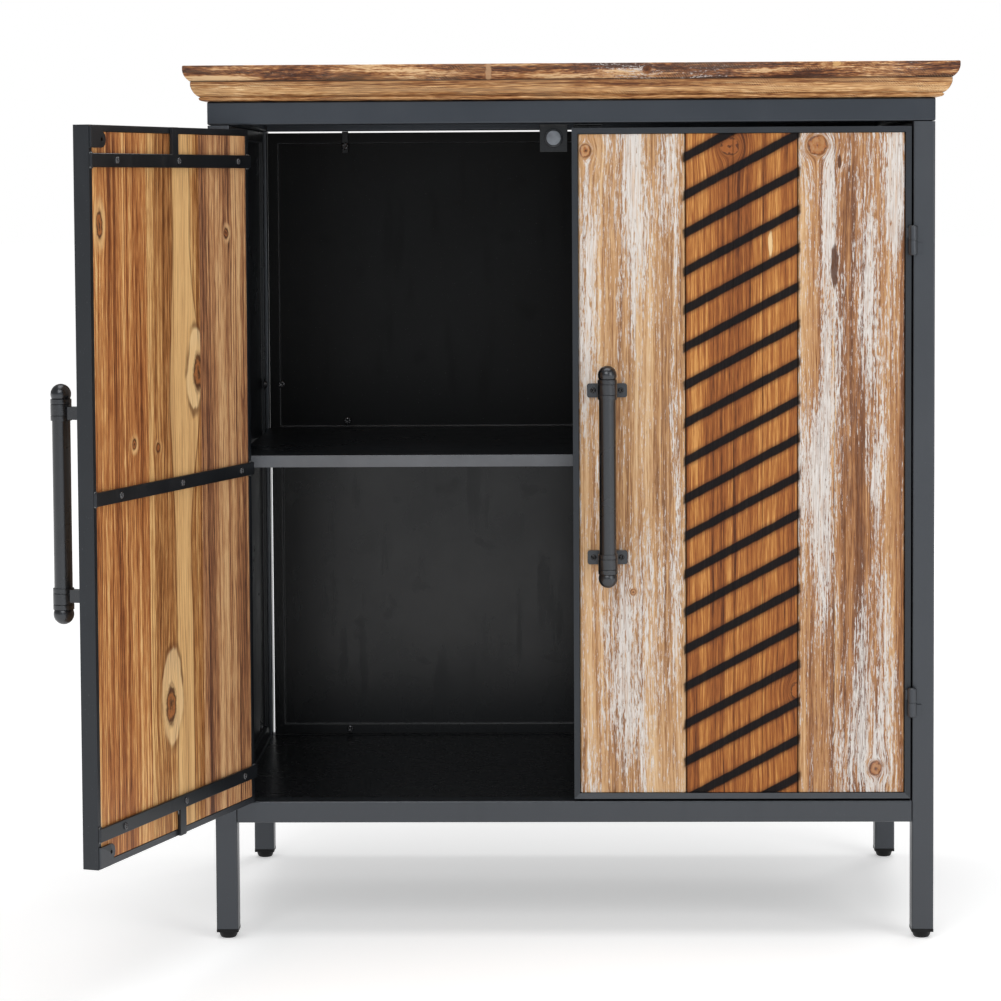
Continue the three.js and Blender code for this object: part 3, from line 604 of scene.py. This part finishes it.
def coated_steel(name, colour, roughness, specular=0.5, metallic=0.0, peel=ORANGE_PEEL, cool=0.0):
    """Powder-coated steel: a fine orange peel, a little cloudiness, faint smudges and specks of dust.
    cool is how blue its gloss is."""
    shade = Shade(name)
    colour = (*colour, 1.0)
    x, y, z = shade.place()
    cloudy = shade.noise(x * 11, y * 11, z * 11, detail=4, roughness=0.6)
    smudges = shade.noise(x * 26, y * 26, z * 34, detail=3).smooth(0.6, 0.74)
    dust = shade.noise(x * 700, y * 700, z * 700, detail=1).smooth(0.72, 0.8)
    rub = shade.noise(x * 60, y * 60, z * 8, detail=3).smooth(0.56, 0.7)
    dark = shaded(colour, 0.8)
    shown = shade.ramp(cloudy.linear(0.3, 0.7), [dark, colour, shaded(colour, 1.25, 0.002)])
    shown = shade.mix(smudges * 0.25, shown, dark)
    shown = shade.mix(dust * 0.25, shown, (0.2, 0.2, 0.21, 1.0))
    rough = cloudy * 0.2 + (roughness - 0.1) + rub * 0.06 + smudges * 0.05
    grain = shade.noise(x * 950, y * 950, z * 950, detail=2)
    shade.shader.inputs["Specular Tint"].default_value = (1 - cool, 1 - cool * 0.6, 1.0, 1.0)
    return shade.finish(shown, rough, grain, peel, metallic, specular)


def bare_metal(name, colour, roughness):
    """Plated metal with fine turning lines and dull patches."""
    shade = Shade(name)
    colour = (*colour, 1.0)
    x, y, z = shade.place()
    patches = shade.noise(x * 120, y * 120, z * 120, detail=3)
    lines = shade.noise(x * 300, y * 300, z * 2500, detail=1)
    shown = shade.ramp(patches.linear(0.3, 0.7), [shaded(colour, 0.65), colour])
    rough = patches * 0.25 + lines * 0.1 + (roughness - 0.17)
    return shade.finish(shown, rough, lines, 0.02 * MM, metallic=1.0)


def moulded_plastic(name, colour):
    shade = Shade(name)
    colour = (*colour, 1.0)
    x, y, z = shade.place()
    grain = shade.noise(x * 1400, y * 1400, z * 1400, detail=2)
    worn = shade.noise(x * 90, y * 90, z * 90, detail=3)
    shown = shade.ramp(worn.linear(0.35, 0.7), [colour, shaded(colour, 2.2)])
    return shade.finish(shown, worn * 0.2 + 0.35, grain, 0.04 * MM, specular=0.25)


FRAME_STEEL = coated_steel("steel_frame", (0.006, 0.007, 0.009), 0.37, 1.0, cool=0.13)
TOP_RAIL_STEEL = coated_steel("steel_top_rail", (0.006, 0.0073, 0.0096), 0.37, 0.8, cool=0.2)
DOOR_STEEL = coated_steel("steel_door", (0.005, 0.006, 0.0075), 0.37, 0.62, cool=0.12)
# A much lighter copy of the coated steel for the shelf's front lip: a painted highlight.
LIP_HIGHLIGHT_STEEL = coated_steel("steel_painted_highlight_lip", (0.08, 0.085, 0.094), 0.42, 0.6)
PANEL_STEEL = coated_steel("steel_panel", (0.0033, 0.0036, 0.0042), 0.26, 0.4, peel=FINE_PEEL)
INNER_STEEL = coated_steel("steel_inner", (0.0075, 0.009, 0.0115), 0.3, 0.4, peel=FINE_PEEL)
# A darker, less glossy copy of the panel steel for the upper back panel's front: painted shade.
SHADED_PANEL_STEEL = coated_steel("steel_panel_painted_shade", (0.003, 0.003, 0.003), 0.34, 0.16, peel=FINE_PEEL)
HANDLE_STEEL = coated_steel("steel_handle", (0.006, 0.0065, 0.0078), 0.28, 0.85, cool=0.08)
SCREW_STEEL = coated_steel("steel_screw", (0.06, 0.06, 0.064), 0.2, 1.0, 0.5, peel=SCREW_PEEL)
EAR_SCREW_STEEL = coated_steel("steel_ear_screw", (0.012, 0.012, 0.013), 0.18, 1.0, 0.6, peel=SCREW_PEEL)
# A lighter copy of the coated steel for the flanks of the back panels' borders: a painted highlight along
# them.
PANEL_HIGHLIGHT_STEEL = coated_steel("steel_panel_painted_highlight", (0.12, 0.125, 0.13), 0.34, 0.8)
WELD_STEEL = coated_steel("steel_weld", (0.16, 0.165, 0.17), 0.22, 1.0, 0.6)
MAGNET_METAL = bare_metal("magnet_plating", (0.2, 0.21, 0.225), 0.38)
FOOT_PLASTIC = moulded_plastic("foot_plastic", (0.0022, 0.0022, 0.0024))


# ---- wood of the top ----

# (height, half width, strength, colour) of the painted shade and painted highlight lines along the
# moulding: its face darker, dark lines in the creases, and a light band on the curve
MOULDING_LIGHT_AND_SHADE = [
    (0.8845, 0.006, 0.35, srgb(132, 84, 50)), (0.8795, 0.0008, 0.55, srgb(84, 50, 30)),
    (0.874, 0.0032, 0.3, srgb(224, 184, 134)), (0.8692, 0.0009, 0.55, srgb(84, 50, 30)),
]
TOP_FRONT_WOOD = edge_wood(
    "wood_top_front", ALONG_X, TOP_EDGE, 60.0, SLAB_FIGURE, 3.4, 0.35, [(0.893, 0.077, 0.0032, 1.2)],
    wash=(-0.17, [(0.892, 0.045, 0.014, 0.05, 0.34), (0.892, 0.12, 0.01, 0.04, 0.12),
                  (0.892, 0.3, 0.01, 0.06, 0.08)]),
    scars=[(0.892, -0.0825, 0.009, 0.0032, srgb(178, 140, 106)),
           (0.893, 0.077, 0.0028, 0.0032, DARK_SCAR),
           (0.898, 0.268, 0.004, 0.0045, srgb(202, 158, 104))],
)
TOP_SIDE_WOOD = edge_wood("wood_top_side", ALONG_Y, TOP_EDGE, 63.0, SLAB_FIGURE, 3.4, wash=(-0.22, []))
MOULDING_FRONT_WOOD = edge_wood(
    "wood_moulding_front", ALONG_X, MOULDING, 66.0, MOULDING_FRONT_FIGURE, 1.7, 0.6, lines=MOULDING_LIGHT_AND_SHADE,
)
MOULDING_SIDE_WOOD = edge_wood(
    "wood_moulding_side", ALONG_Y, MOULDING, 69.0, MOULDING_SIDE_FIGURE, 1.7, 0.6, lines=MOULDING_LIGHT_AND_SHADE,
)


def top_face_wood():
    low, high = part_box("top_panel")
    seams = [low.y + (high.y - low.y) * share for share in (0.24, 0.49, 0.75)]
    knots = [(-0.12, -0.21, 9 * MM, 1.5), (0.06, 0.16, 8 * MM, 1.4), (0.13, -0.02, 7 * MM, 1.3)]
    board = Board("wood_top_face", BOARDS_IN_Y, RUSSET, 72.0, knots, seams, short=1.5)
    board.figure(*TOP_FIGURE)
    board.draw_knots()
    board.glue_lines()
    board.whitewash(0.05)
    return board.finish(0.5, 0.3 * MM)


TOP_FACE_WOOD = top_face_wood()


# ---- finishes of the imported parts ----

def soften(node, width, segments):
    """Rounds the sharp edges a little and smooths the shading, by modifiers on the unchanged mesh."""
    part = NODES[node]
    mesh = part.data
    for name in ("custom_normal", "sharp_edge"):
        if name in mesh.attributes:
            mesh.attributes.remove(mesh.attributes[name])
    for polygon in mesh.polygons:
        polygon.use_smooth = True
    part.modifiers.new("weld", "WELD").merge_threshold = 0.01 * MM
    bevel = part.modifiers.new("bevel", "BEVEL")
    bevel.width = width
    bevel.segments = segments
    bevel.limit_method = "ANGLE"
    bevel.angle_limit = math.radians(32)
    part.modifiers.new("normals", "WEIGHTED_NORMAL").keep_sharp = True


def dress(node, materials, choose):
    """choose gives the number of the material for a face's middle and normal."""
    mesh = NODES[node].data
    mesh.materials.clear()
    for material in materials:
        mesh.materials.append(material)
    if choose:
        for polygon in mesh.polygons:
            polygon.material_index = choose(polygon.center, polygon.normal)


PLANK_WOOD = plank_materials()
FRAME_BAR_HEIGHT = 16 * MM
PANEL_EDGE = 4 * MM


def back_of_door(side):
    """1 for a plank's faces behind its middle, and 0 for the others."""
    def choose(centre, normal):
        shut = centre if side == "right" else OPENED.inverted() @ centre
        return int(shut.y > PLANK_MIDDLE_DEPTH)
    return choose


def top_face(centre, normal):
    if abs(normal.z) > 0.8:
        return 2
    return 1 if abs(normal.x) > abs(normal.y) else 0


# The shelf's front-facing faces take the lighter lip steel: a painted highlight along the lip.
def front_lip(centre, normal):
    return int(normal.y < -0.8 and centre.y < 0)


def lowest_bar(bottom):
    """1 for the lowest bar of a door's frame, and 0 for its other bars. The lowest bar keeps the lighter,
    glossier frame steel: painted light, the door frame lighter at the bottom.
    """
    def choose(centre, normal):
        return int(centre.z < bottom + FRAME_BAR_HEIGHT)
    return choose


def panel_faces(low, high):
    """0 for a pressed panel's front, 1 for its rear and its edges, 2 for the flanks of its border, which
    take a lighter steel as a painted highlight.
    """
    def choose(centre, normal):
        if abs(normal.y) > 0.9:
            return 0 if normal.y < 0 else 1
        rim = min(centre.x - low.x, high.x - centre.x, centre.z - low.z, high.z - centre.z)
        return 2 if rim > PANEL_EDGE else 1
    return choose


# What a node's name holds, its materials, how wide in mm its edges are rounded, and in how many steps.
# The first row that fits counts.
LOOKS = (
    ("top_panel", (TOP_FRONT_WOOD, TOP_SIDE_WOOD, TOP_FACE_WOOD), 0.5, 2),
    ("top_moulding_front", (MOULDING_FRONT_WOOD,), 0.5, 2),
    ("top_moulding", (MOULDING_SIDE_WOOD,), 0.5, 2),
    ("top_batten", (MOULDING_FRONT_WOOD,), 0.5, 2),
    ("catch_magnet", (MAGNET_METAL,), 0.5, 2),
    ("foot", (FOOT_PLASTIC,), 0.4, 2),
    ("handle", (HANDLE_STEEL,), 0.35, 2),
    ("shelf", (INNER_STEEL, LIP_HIGHLIGHT_STEEL), 0.5, 2),
    ("back_panel_upper", (SHADED_PANEL_STEEL, PANEL_STEEL, PANEL_HIGHLIGHT_STEEL), 0.9, 3),
    ("back_panel_lower", (PANEL_STEEL, PANEL_STEEL, PANEL_HIGHLIGHT_STEEL), 0.9, 3),
    ("side_panel", (INNER_STEEL,), 0.9, 3),
    ("floor_panel", (PANEL_STEEL,), 0.5, 3),
    ("catch_bracket", (PANEL_STEEL,), 0.5, 3),
    ("top_rail", (TOP_RAIL_STEEL,), 0.6, 3),
    ("strap", (DOOR_STEEL,), 0.6, 3),
    # A door frame's lowest bar takes the lighter frame steel as painted light.
    ("_frame", (DOOR_STEEL, FRAME_STEEL), 0.6, 3),
    ("", (FRAME_STEEL,), 0.6, 3),
)


def chooser(node):
    """What picks the material of each face of a node, or nothing where it has one."""
    if "_plank_" in node:
        return back_of_door("left" if "door_left" in node else "right")
    if "back_panel" in node:
        return panel_faces(*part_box(node))
    if node.endswith("_frame"):
        return lowest_bar(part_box(node)[0].z)
    return {"top_panel": top_face, "shelf": front_lip}.get(node)


for node in NODES:
    if node in PLANK_WOOD:
        materials, rounding, steps = PLANK_WOOD[node], 0.5, 2
    else:
        materials, rounding, steps = next(row[1:] for row in LOOKS if row[0] in node)
    dress(node, materials, chooser(node))
    soften(node, rounding * MM, steps)


# ---- fixings ----

def add_object(name, data):
    made = bpy.data.objects.new(name, data)
    bpy.context.scene.collection.objects.link(made)
    return made


def piece(name, verts, faces, material, matrix, body, slot, smooth=True):
    mesh = bpy.data.meshes.new(name)
    mesh.from_pydata([tuple(v) for v in verts], [], faces)
    mesh.update()
    for polygon in mesh.polygons:
        polygon.use_smooth = smooth
    mesh.materials.append(material)
    made = add_object(name, mesh)
    made.matrix_world = matrix
    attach(made, body)


def turned(profile, segments=40):
    """A closed solid of (radius, height) rings about +Z. The first and last radius are 0."""
    verts, faces, rings = [], [], []
    for radius, height in profile:
        count = segments if radius else 1
        rings.append(range(len(verts), len(verts) + count))
        for i in range(count):
            angle = 2 * math.pi * i / segments
            verts.append(Vector((radius * math.cos(angle), radius * math.sin(angle), height)))
    for lower, upper in zip(rings, rings[1:]):
        for i in range(segments):
            k = (i + 1) % segments
            if len(lower) == 1:
                faces.append((lower[0], upper[k], upper[i]))
            elif len(upper) == 1:
                faces.append((lower[i], lower[k], upper[0]))
            else:
                faces.append((lower[i], lower[k], upper[k], upper[i]))
    return verts, faces


def screw_shape(radius, height):
    """A pan head with a cross recess, its seat at height 0."""
    rings = 12
    profile = [(0, -0.4 * MM), (radius * 0.9, -0.4 * MM), (radius, 0.12 * height)]
    for i in range(rings):
        share = 1 - (i + 1) / (rings + 1)
        profile.append((radius * share, height * (1 - 0.45 * share ** 3)))
    profile.append((0, height))
    verts, faces = turned(profile, 48)
    arm, half_width, deep = radius * 0.64, radius * 0.19, height * 0.8
    for v in verts:
        narrow, wide = sorted((abs(v.x), abs(v.y)))
        if v.z > height * 0.5 and narrow < half_width and wide < arm:
            v.z -= deep * (1 - 0.6 * wide / arm)
    return verts, faces


def washer_shape(radius, thickness):
    rim = 0.25 * thickness
    side = [(radius, 0), (radius, thickness - rim), (radius - rim, thickness)]
    return turned([(0, 0), *side, (0, thickness)])


def tube_faces(rings, section, closed):
    """The sides of a tube whose rings of section points follow each other."""
    faces = []
    for i in range(rings if closed else rings - 1):
        a, b = i * section, (i + 1) % rings * section
        faces += [(a + k, b + k, b + (k + 1) % section, a + (k + 1) % section) for k in range(section)]
    return faces


def ring_shape(radius, width, height):
    """A rounded ring about +Z, its middle at height 0."""
    around, section = 48, 10
    verts = []
    for i in range(around):
        angle = 2 * math.pi * i / around
        for k in range(section):
            tilt = 2 * math.pi * k / section
            out = radius + width / 2 * math.cos(tilt)
            up = height / 2 * math.sin(tilt)
            verts.append(Vector((out * math.cos(angle), out * math.sin(angle), up)))
    return verts, tube_faces(around, section, True)


def nut_shape(radius, thickness):
    """A hexagonal nut with cut corners and the bolt's end standing out of it."""
    bolt, bolt_end = radius * 0.5, thickness * 1.45
    return turned([
        (0, 0), (radius, 0), (radius, thickness * 0.8), (radius * 0.87, thickness), (bolt, thickness),
        (bolt, thickness * 1.35), (radius * 0.42, bolt_end), (0, bolt_end),
    ], 6)


def slab_shape(width, height, thickness, edge):
    """A plate in X and Y with its front edges cut back, its seat at height 0."""
    verts = []
    for inset, level in ((0, 0), (0, thickness - edge), (edge, thickness)):
        x, y = width / 2 - inset, height / 2 - inset
        verts += [Vector((a, b, level)) for a, b in ((-x, -y), (x, -y), (x, y), (-x, y))]
    turns = [(low + k, low + (k + 1) % 4) for low in (0, 4) for k in range(4)]
    return verts, [(a, b, b + 4, a + 4) for a, b in turns] + [(3, 2, 1, 0), (8, 9, 10, 11)]


def weld_shape(length, radius, dice):
    """A bead along +X, laid as overlapping ripples, with its flat side at height 0."""
    step = 1.1 * MM
    count = max(4, round(length / step) * 3)
    around = 10
    verts = []
    for i in range(count + 1):
        share = i / count
        ripple = 0.86 + 0.14 * abs(math.sin(math.pi * i / 3)) + dice.uniform(-0.05, 0.05)
        taper = min(1.0, (min(share, 1 - share) * length / radius + 0.15)) ** 0.5
        size = radius * ripple * taper
        for k in range(around):
            angle = math.pi * k / (around - 1)
            across, up = size * math.cos(angle), size * 0.6 * math.sin(angle)
            verts.append(Vector((share * length, across, up)))
    ends = [tuple(range(around)), tuple(reversed(range(count * around, (count + 1) * around)))]
    return verts, tube_faces(count + 1, around, False) + ends


def set_on(place, direction, spin=0.0):
    """The matrix of a piece whose +Z faces a direction."""
    facing = Vector(direction).to_track_quat("Z", "Y").to_matrix().to_4x4()
    return Matrix.Translation(place) @ facing @ Matrix.Rotation(spin, 4, "Z")


def on_door(side, place, direction, spin=0.0):
    """The matrix of a piece that faces along Y on a door, given as it would be on the shut right door."""
    if side == "right":
        return set_on(place, direction, spin)
    x, y, z = place
    return OPENED @ set_on((-x, y, z), direction, spin)


STRAP_SCREW = screw_shape(3.4 * MM, 1.9 * MM)
EAR_SCREW = screw_shape(3.0 * MM, 1.7 * MM)
PANEL_SCREW = screw_shape(4.2 * MM, 2.4 * MM)
NUT_WASHER_THICKNESS = 1.2 * MM
NUT_WASHER = washer_shape(6.5 * MM, NUT_WASHER_THICKNESS)
PANEL_NUT = nut_shape(4.6 * MM, 3.2 * MM)
DICE = random.Random(11)
INWARD, OUTWARD = (0, 1, 0), (0, -1, 0)

# Places of fixings that the CAD leaves out, where they aren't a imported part's own
STRAP_SCREWS_ACROSS = (50 * MM, 180 * MM, 315 * MM)
STRAPS = ("upper", "middle", "lower")
BAND_LOW, BAND_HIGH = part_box("door_right_strap_middle")
BAND_HALF_HEIGHT = (BAND_HIGH.z - BAND_LOW.z) / 2
STRAP_WELD = (6 * MM, 1.3 * MM, 2.6 * MM)   # length, radius, how far in front of the strap's back
STUB_WELD = (5 * MM, 1.2 * MM, 2.2 * MM)
STUB_WELD_HEIGHT = 6.5 * MM
EAR_HALF_HEIGHT = 7.2 * MM
EAR_SCREW_ACROSS = 14.25 * MM
EAR_THICKNESS = 2.5 * MM
BACK_BOLT_X = 258 * MM
BACK_EDGE_BOLT_X = 333.6 * MM
BACK_EDGE_BOLT_Z = 550.4 * MM
BOLT_ABOVE_SHELF = 8 * MM
LOWER_BOLT_INSET = 6 * MM
SPACER_WIDTH = 7 * MM
SPACER_THICKNESS = 2.2 * MM
SPACER_BOTTOM = 815 * MM
SPACER_EDGE = 0.4 * MM
SPACER_GAP = 0.3 * MM
SPACER_BOLT_HEIGHT = 8 * MM
SIDE_BOLTS = ((80 * MM, 172 * MM), (-90 * MM, 172 * MM), (165 * MM, 552 * MM), (-150 * MM, 552 * MM))
RIM_WIDTH, RIM_HEIGHT = 1.8 * MM, 2.4 * MM


def middle_of_band(strap):
    """The height of the long horizontal part of a strap, which has a stub to the door's end too."""
    low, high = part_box(f"door_right_strap_{strap}")
    if strap == "middle":
        return (low.z + high.z) / 2
    return low.z + BAND_HALF_HEIGHT if strap == "upper" else high.z - BAND_HALF_HEIGHT


def add_to_door(name, side, shape, material, matrix, slot="frame_steel"):
    piece(f"door_{side}_{name}", *shape, material, matrix, f"door_{side}", slot)


def add_strap_screws(side):
    for strap in STRAPS:
        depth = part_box(f"door_right_strap_{strap}")[1].y
        for number, across in enumerate(STRAP_SCREWS_ACROSS, 1):
            matrix = on_door(side, (across, depth, middle_of_band(strap)), INWARD, DICE.uniform(0, 3))
            add_to_door(f"screw_{strap}_{number}", side, STRAP_SCREW, SCREW_STEEL, matrix)


def add_door_weld(name, side, x, behind, z, weld, upright=False):
    """A bead from a place at the back of the shut right door to the right or upwards."""
    length, radius, sink = weld
    y = behind - sink
    matrix = turned_by(-90, "X")
    if upright:
        matrix = matrix @ turned_by(90, "Z")
    if side == "left":
        matrix = OPENED @ Matrix.Translation((-x - (0 if upright else length), y, z)) @ matrix
    else:
        matrix = Matrix.Translation((x, y, z)) @ matrix
    add_to_door(name, side, weld_shape(length, radius, DICE), WELD_STEEL, matrix)


def add_strap_welds(side):
    """Beads at both ends of each strap, over and under it."""
    for strap in STRAPS:
        low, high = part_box(f"door_right_strap_{strap}")
        for end, x in (("free", low.x), ("hinge", high.x - STRAP_WELD[0])):
            for edge, way in (("top", 1), ("bottom", -1)):
                z = middle_of_band(strap) + way * BAND_HALF_HEIGHT
                add_door_weld(f"weld_{strap}_{end}_{edge}", side, x, high.y, z, STRAP_WELD)


def add_stub_welds(side):
    """Beads where a strap's stub meets its long band."""
    for strap, way in (("upper", 1), ("lower", -1)):
        node = f"door_right_strap_{strap}"
        low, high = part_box(node)
        end = high.z if way > 0 else low.z
        across = [v.co.x for v in NODES[node].data.vertices if abs(v.co.z - end) < MM]
        z = middle_of_band(strap) + way * STUB_WELD_HEIGHT
        for number, x in enumerate((min(across), max(across)), 1):
            add_door_weld(f"stub_weld_{strap}_{number}", side, x, high.y, z, STUB_WELD, upright=True)


def add_handle_screws(side):
    for bracket in ("upper", "lower"):
        low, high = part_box(f"door_right_handle_bracket_{bracket}")
        height = low.z + EAR_HALF_HEIGHT if bracket == "upper" else high.z - EAR_HALF_HEIGHT
        for number, way in ((1, -1), (2, 1)):
            place = ((low.x + high.x) / 2 + way * EAR_SCREW_ACROSS, high.y - EAR_THICKNESS, height)
            matrix = on_door(side, place, OUTWARD, DICE.uniform(0, 3))
            name = f"handle_{bracket}_screw_{number}"
            add_to_door(name, side, EAR_SCREW, EAR_SCREW_STEEL, matrix, "handle_steel")


def add_to_cabinet(name, shape, matrix, material=None, slot="panel_steel", smooth=True):
    piece(name, *shape, material or SCREW_STEEL, matrix, "cabinet", slot, smooth)


def add_bolt(name, place, direction, through=None):
    """A screw head at place, and its nut on the far side of a sheet that is through thick."""
    add_to_cabinet(f"{name}_head", PANEL_SCREW, set_on(place, direction, DICE.uniform(0, 3)))
    if through:
        behind = Vector(place) - Vector(direction) * through
        away = tuple(-v for v in direction)
        add_to_cabinet(f"{name}_washer", NUT_WASHER, set_on(behind, away))
        seat = behind + Vector(away) * NUT_WASHER_THICKNESS
        add_to_cabinet(f"{name}_nut", PANEL_NUT, set_on(seat, away, DICE.uniform(0, 1)), smooth=False)


def add_back_bolts():
    low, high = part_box("back_panel_upper")
    depth = high.y - low.y
    above_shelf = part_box("shelf")[1].z + BOLT_ABOVE_SHELF
    for side, sign in SIDES.items():
        x = sign * BACK_BOLT_X
        add_bolt(f"back_bolt_shelf_{side}", (x, low.y, above_shelf), OUTWARD, depth)
        add_bolt(f"back_bolt_edge_{side}", (sign * BACK_EDGE_BOLT_X, low.y, BACK_EDGE_BOLT_Z), OUTWARD)
        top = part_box("top_rail_back")[0].z - SPACER_GAP
        spacer = slab_shape(SPACER_WIDTH, top - SPACER_BOTTOM, SPACER_THICKNESS, SPACER_EDGE)
        upright = Matrix.Translation((x, low.y, (top + SPACER_BOTTOM) / 2)) @ turned_by(90, "X")
        add_to_cabinet(f"back_spacer_{side}", spacer, upright, PANEL_STEEL, smooth=False)
        place = (x, low.y - SPACER_THICKNESS, SPACER_BOTTOM + SPACER_BOLT_HEIGHT)
        add_bolt(f"back_bolt_top_{side}", place, OUTWARD)
    low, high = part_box("back_panel_lower")
    for side, sign in SIDES.items():
        for label, z in (("low", low.z + LOWER_BOLT_INSET), ("high", high.z - LOWER_BOLT_INSET)):
            place = (sign * BACK_BOLT_X, low.y, z)
            add_bolt(f"back_bolt_lower_{label}_{side}", place, OUTWARD, high.y - low.y)


def add_side_bolts(side):
    low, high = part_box(f"side_panel_{side}")
    x = high.x if side == "left" else low.x
    inward = (-SIDES[side], 0, 0)
    for number, (y, z) in enumerate(SIDE_BOLTS, 1):
        place = Vector((x, y, z))
        add_to_cabinet(f"side_washer_{side}_{number}", NUT_WASHER, set_on(place, inward))
        add_bolt(f"side_bolt_{side}_{number}", place + Vector(inward) * NUT_WASHER_THICKNESS, inward)


def add_magnet_rim(side):
    low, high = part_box(f"catch_magnet_{side}")
    radius = (high.x - low.x + RIM_WIDTH) / 2
    place = Vector(((low.x + high.x) / 2, low.y + RIM_HEIGHT, (low.z + high.z) / 2))
    ring = ring_shape(radius, RIM_WIDTH, RIM_HEIGHT)
    add_to_cabinet(f"catch_rim_{side}", ring, set_on(place, OUTWARD), HANDLE_STEEL, "magnet")


def on_both_sides(*makers):
    for make in makers:
        for side in SIDES:
            make(side)


on_both_sides(add_strap_screws, add_strap_welds, add_handle_screws)
add_back_bolts()
on_both_sides(add_side_bolts, add_magnet_rim, add_stub_welds)


# ---- stage, light, camera ----

FLOOR_HALF = 40.0
WHITE = (1.0, 1.0, 1.0, 1.0)
WORLD_LIGHT = 0.3
CAMERA_PLACE = (0.0006, -3.4308, 0.7776)
CAMERA_YAW, CAMERA_PITCH, CAMERA_ROLL = -1.303, -3.539, -0.339   # degrees
CAMERA_LENS = 113.636   # mm, on a sensor 36 mm wide
CAMERA_SHIFT = -0.12


def make_floor():
    shade = Shade("stage_floor")
    x, y, z = shade.place()
    away = (x * x + y * y).math("SQRT")
    mottle = shade.noise(x * 3, y * 3, 0.0, detail=2)
    shown = shade.ramp(mottle, [srgb(238, 238, 238), srgb(246, 246, 246)])
    shade.put(shade.shader.inputs["Emission Color"], WHITE)
    shade.put(shade.shader.inputs["Emission Strength"], away.smooth(1.2, 5.0) * 0.35 + 0.4)
    material = shade.finish(shown, mottle * 0.1 + 0.8, specular=0.1)
    mesh = bpy.data.meshes.new("stage_floor")
    corners = ((-1, -1), (1, -1), (1, 1), (-1, 1))
    mesh.from_pydata([(x * FLOOR_HALF, y * FLOOR_HALF, 0) for x, y in corners], [], [(0, 1, 2, 3)])
    mesh.materials.append(material)
    add_object("stage_floor", mesh)


def make_world():
    """White to the camera, softer as a source of light and in reflections."""
    world = bpy.data.worlds.new("studio")
    bpy.context.scene.world = world
    world.use_nodes = True
    tree = world.node_tree
    tree.nodes.clear()
    path = tree.nodes.new("ShaderNodeLightPath")
    mix = tree.nodes.new("ShaderNodeMixShader")
    output = tree.nodes.new("ShaderNodeOutputWorld")
    tree.links.new(path.outputs["Is Camera Ray"], mix.inputs[0])
    for socket, strength in zip(mix.inputs[1:], (WORLD_LIGHT, 1.0)):
        background = tree.nodes.new("ShaderNodeBackground")
        background.inputs["Color"].default_value = WHITE
        background.inputs["Strength"].default_value = strength
        tree.links.new(background.outputs[0], socket)
    tree.links.new(mix.outputs[0], output.inputs[0])


def softbox(name, place, aim, width, height, power, colour=WHITE[:3]):
    light = bpy.data.lights.new(name, "AREA")
    light.shape = "RECTANGLE"
    light.size, light.size_y = width, height
    light.energy = power
    light.color = colour
    made = add_object(name, light)
    made.location = place
    made.rotation_euler = (Vector(aim) - Vector(place)).to_track_quat("-Z", "Y").to_euler()


def make_camera():
    data = bpy.data.cameras.new("camera")
    data.sensor_width = 36.0
    data.lens = CAMERA_LENS
    data.shift_y = CAMERA_SHIFT
    data.clip_start, data.clip_end = 0.1, 200.0
    turn = turned_by(-CAMERA_YAW, "Z") @ turned_by(90 + CAMERA_PITCH, "X") @ turned_by(CAMERA_ROLL, "Z")
    camera = add_object("camera", data)
    camera.matrix_world = Matrix.Translation(CAMERA_PLACE) @ turn
    bpy.context.scene.camera = camera


make_floor()
make_world()
MIDDLE = (0, 0, 0.5)   # what the lights aim at
softbox("key", (-0.9, -4.0, 3.0), MIDDLE, 2.4, 2.0, 52)
softbox("fill", (2.6, -3.0, 1.7), MIDDLE, 2.0, 2.2, 36)
softbox("overhead", (0, -0.3, 3.6), (0, 0, 0), 3.0, 2.4, 55)
softbox("rim", (1.4, 3.4, 2.4), MIDDLE, 2.4, 1.6, 40)
softbox("front wall", (0, -8.0, 1.6), (0, 0, 0.6), 7.0, 3.0, 20.5, (0.66, 0.83, 1.0))
make_camera()
bpy.context.scene.view_settings.view_transform = "Standard"
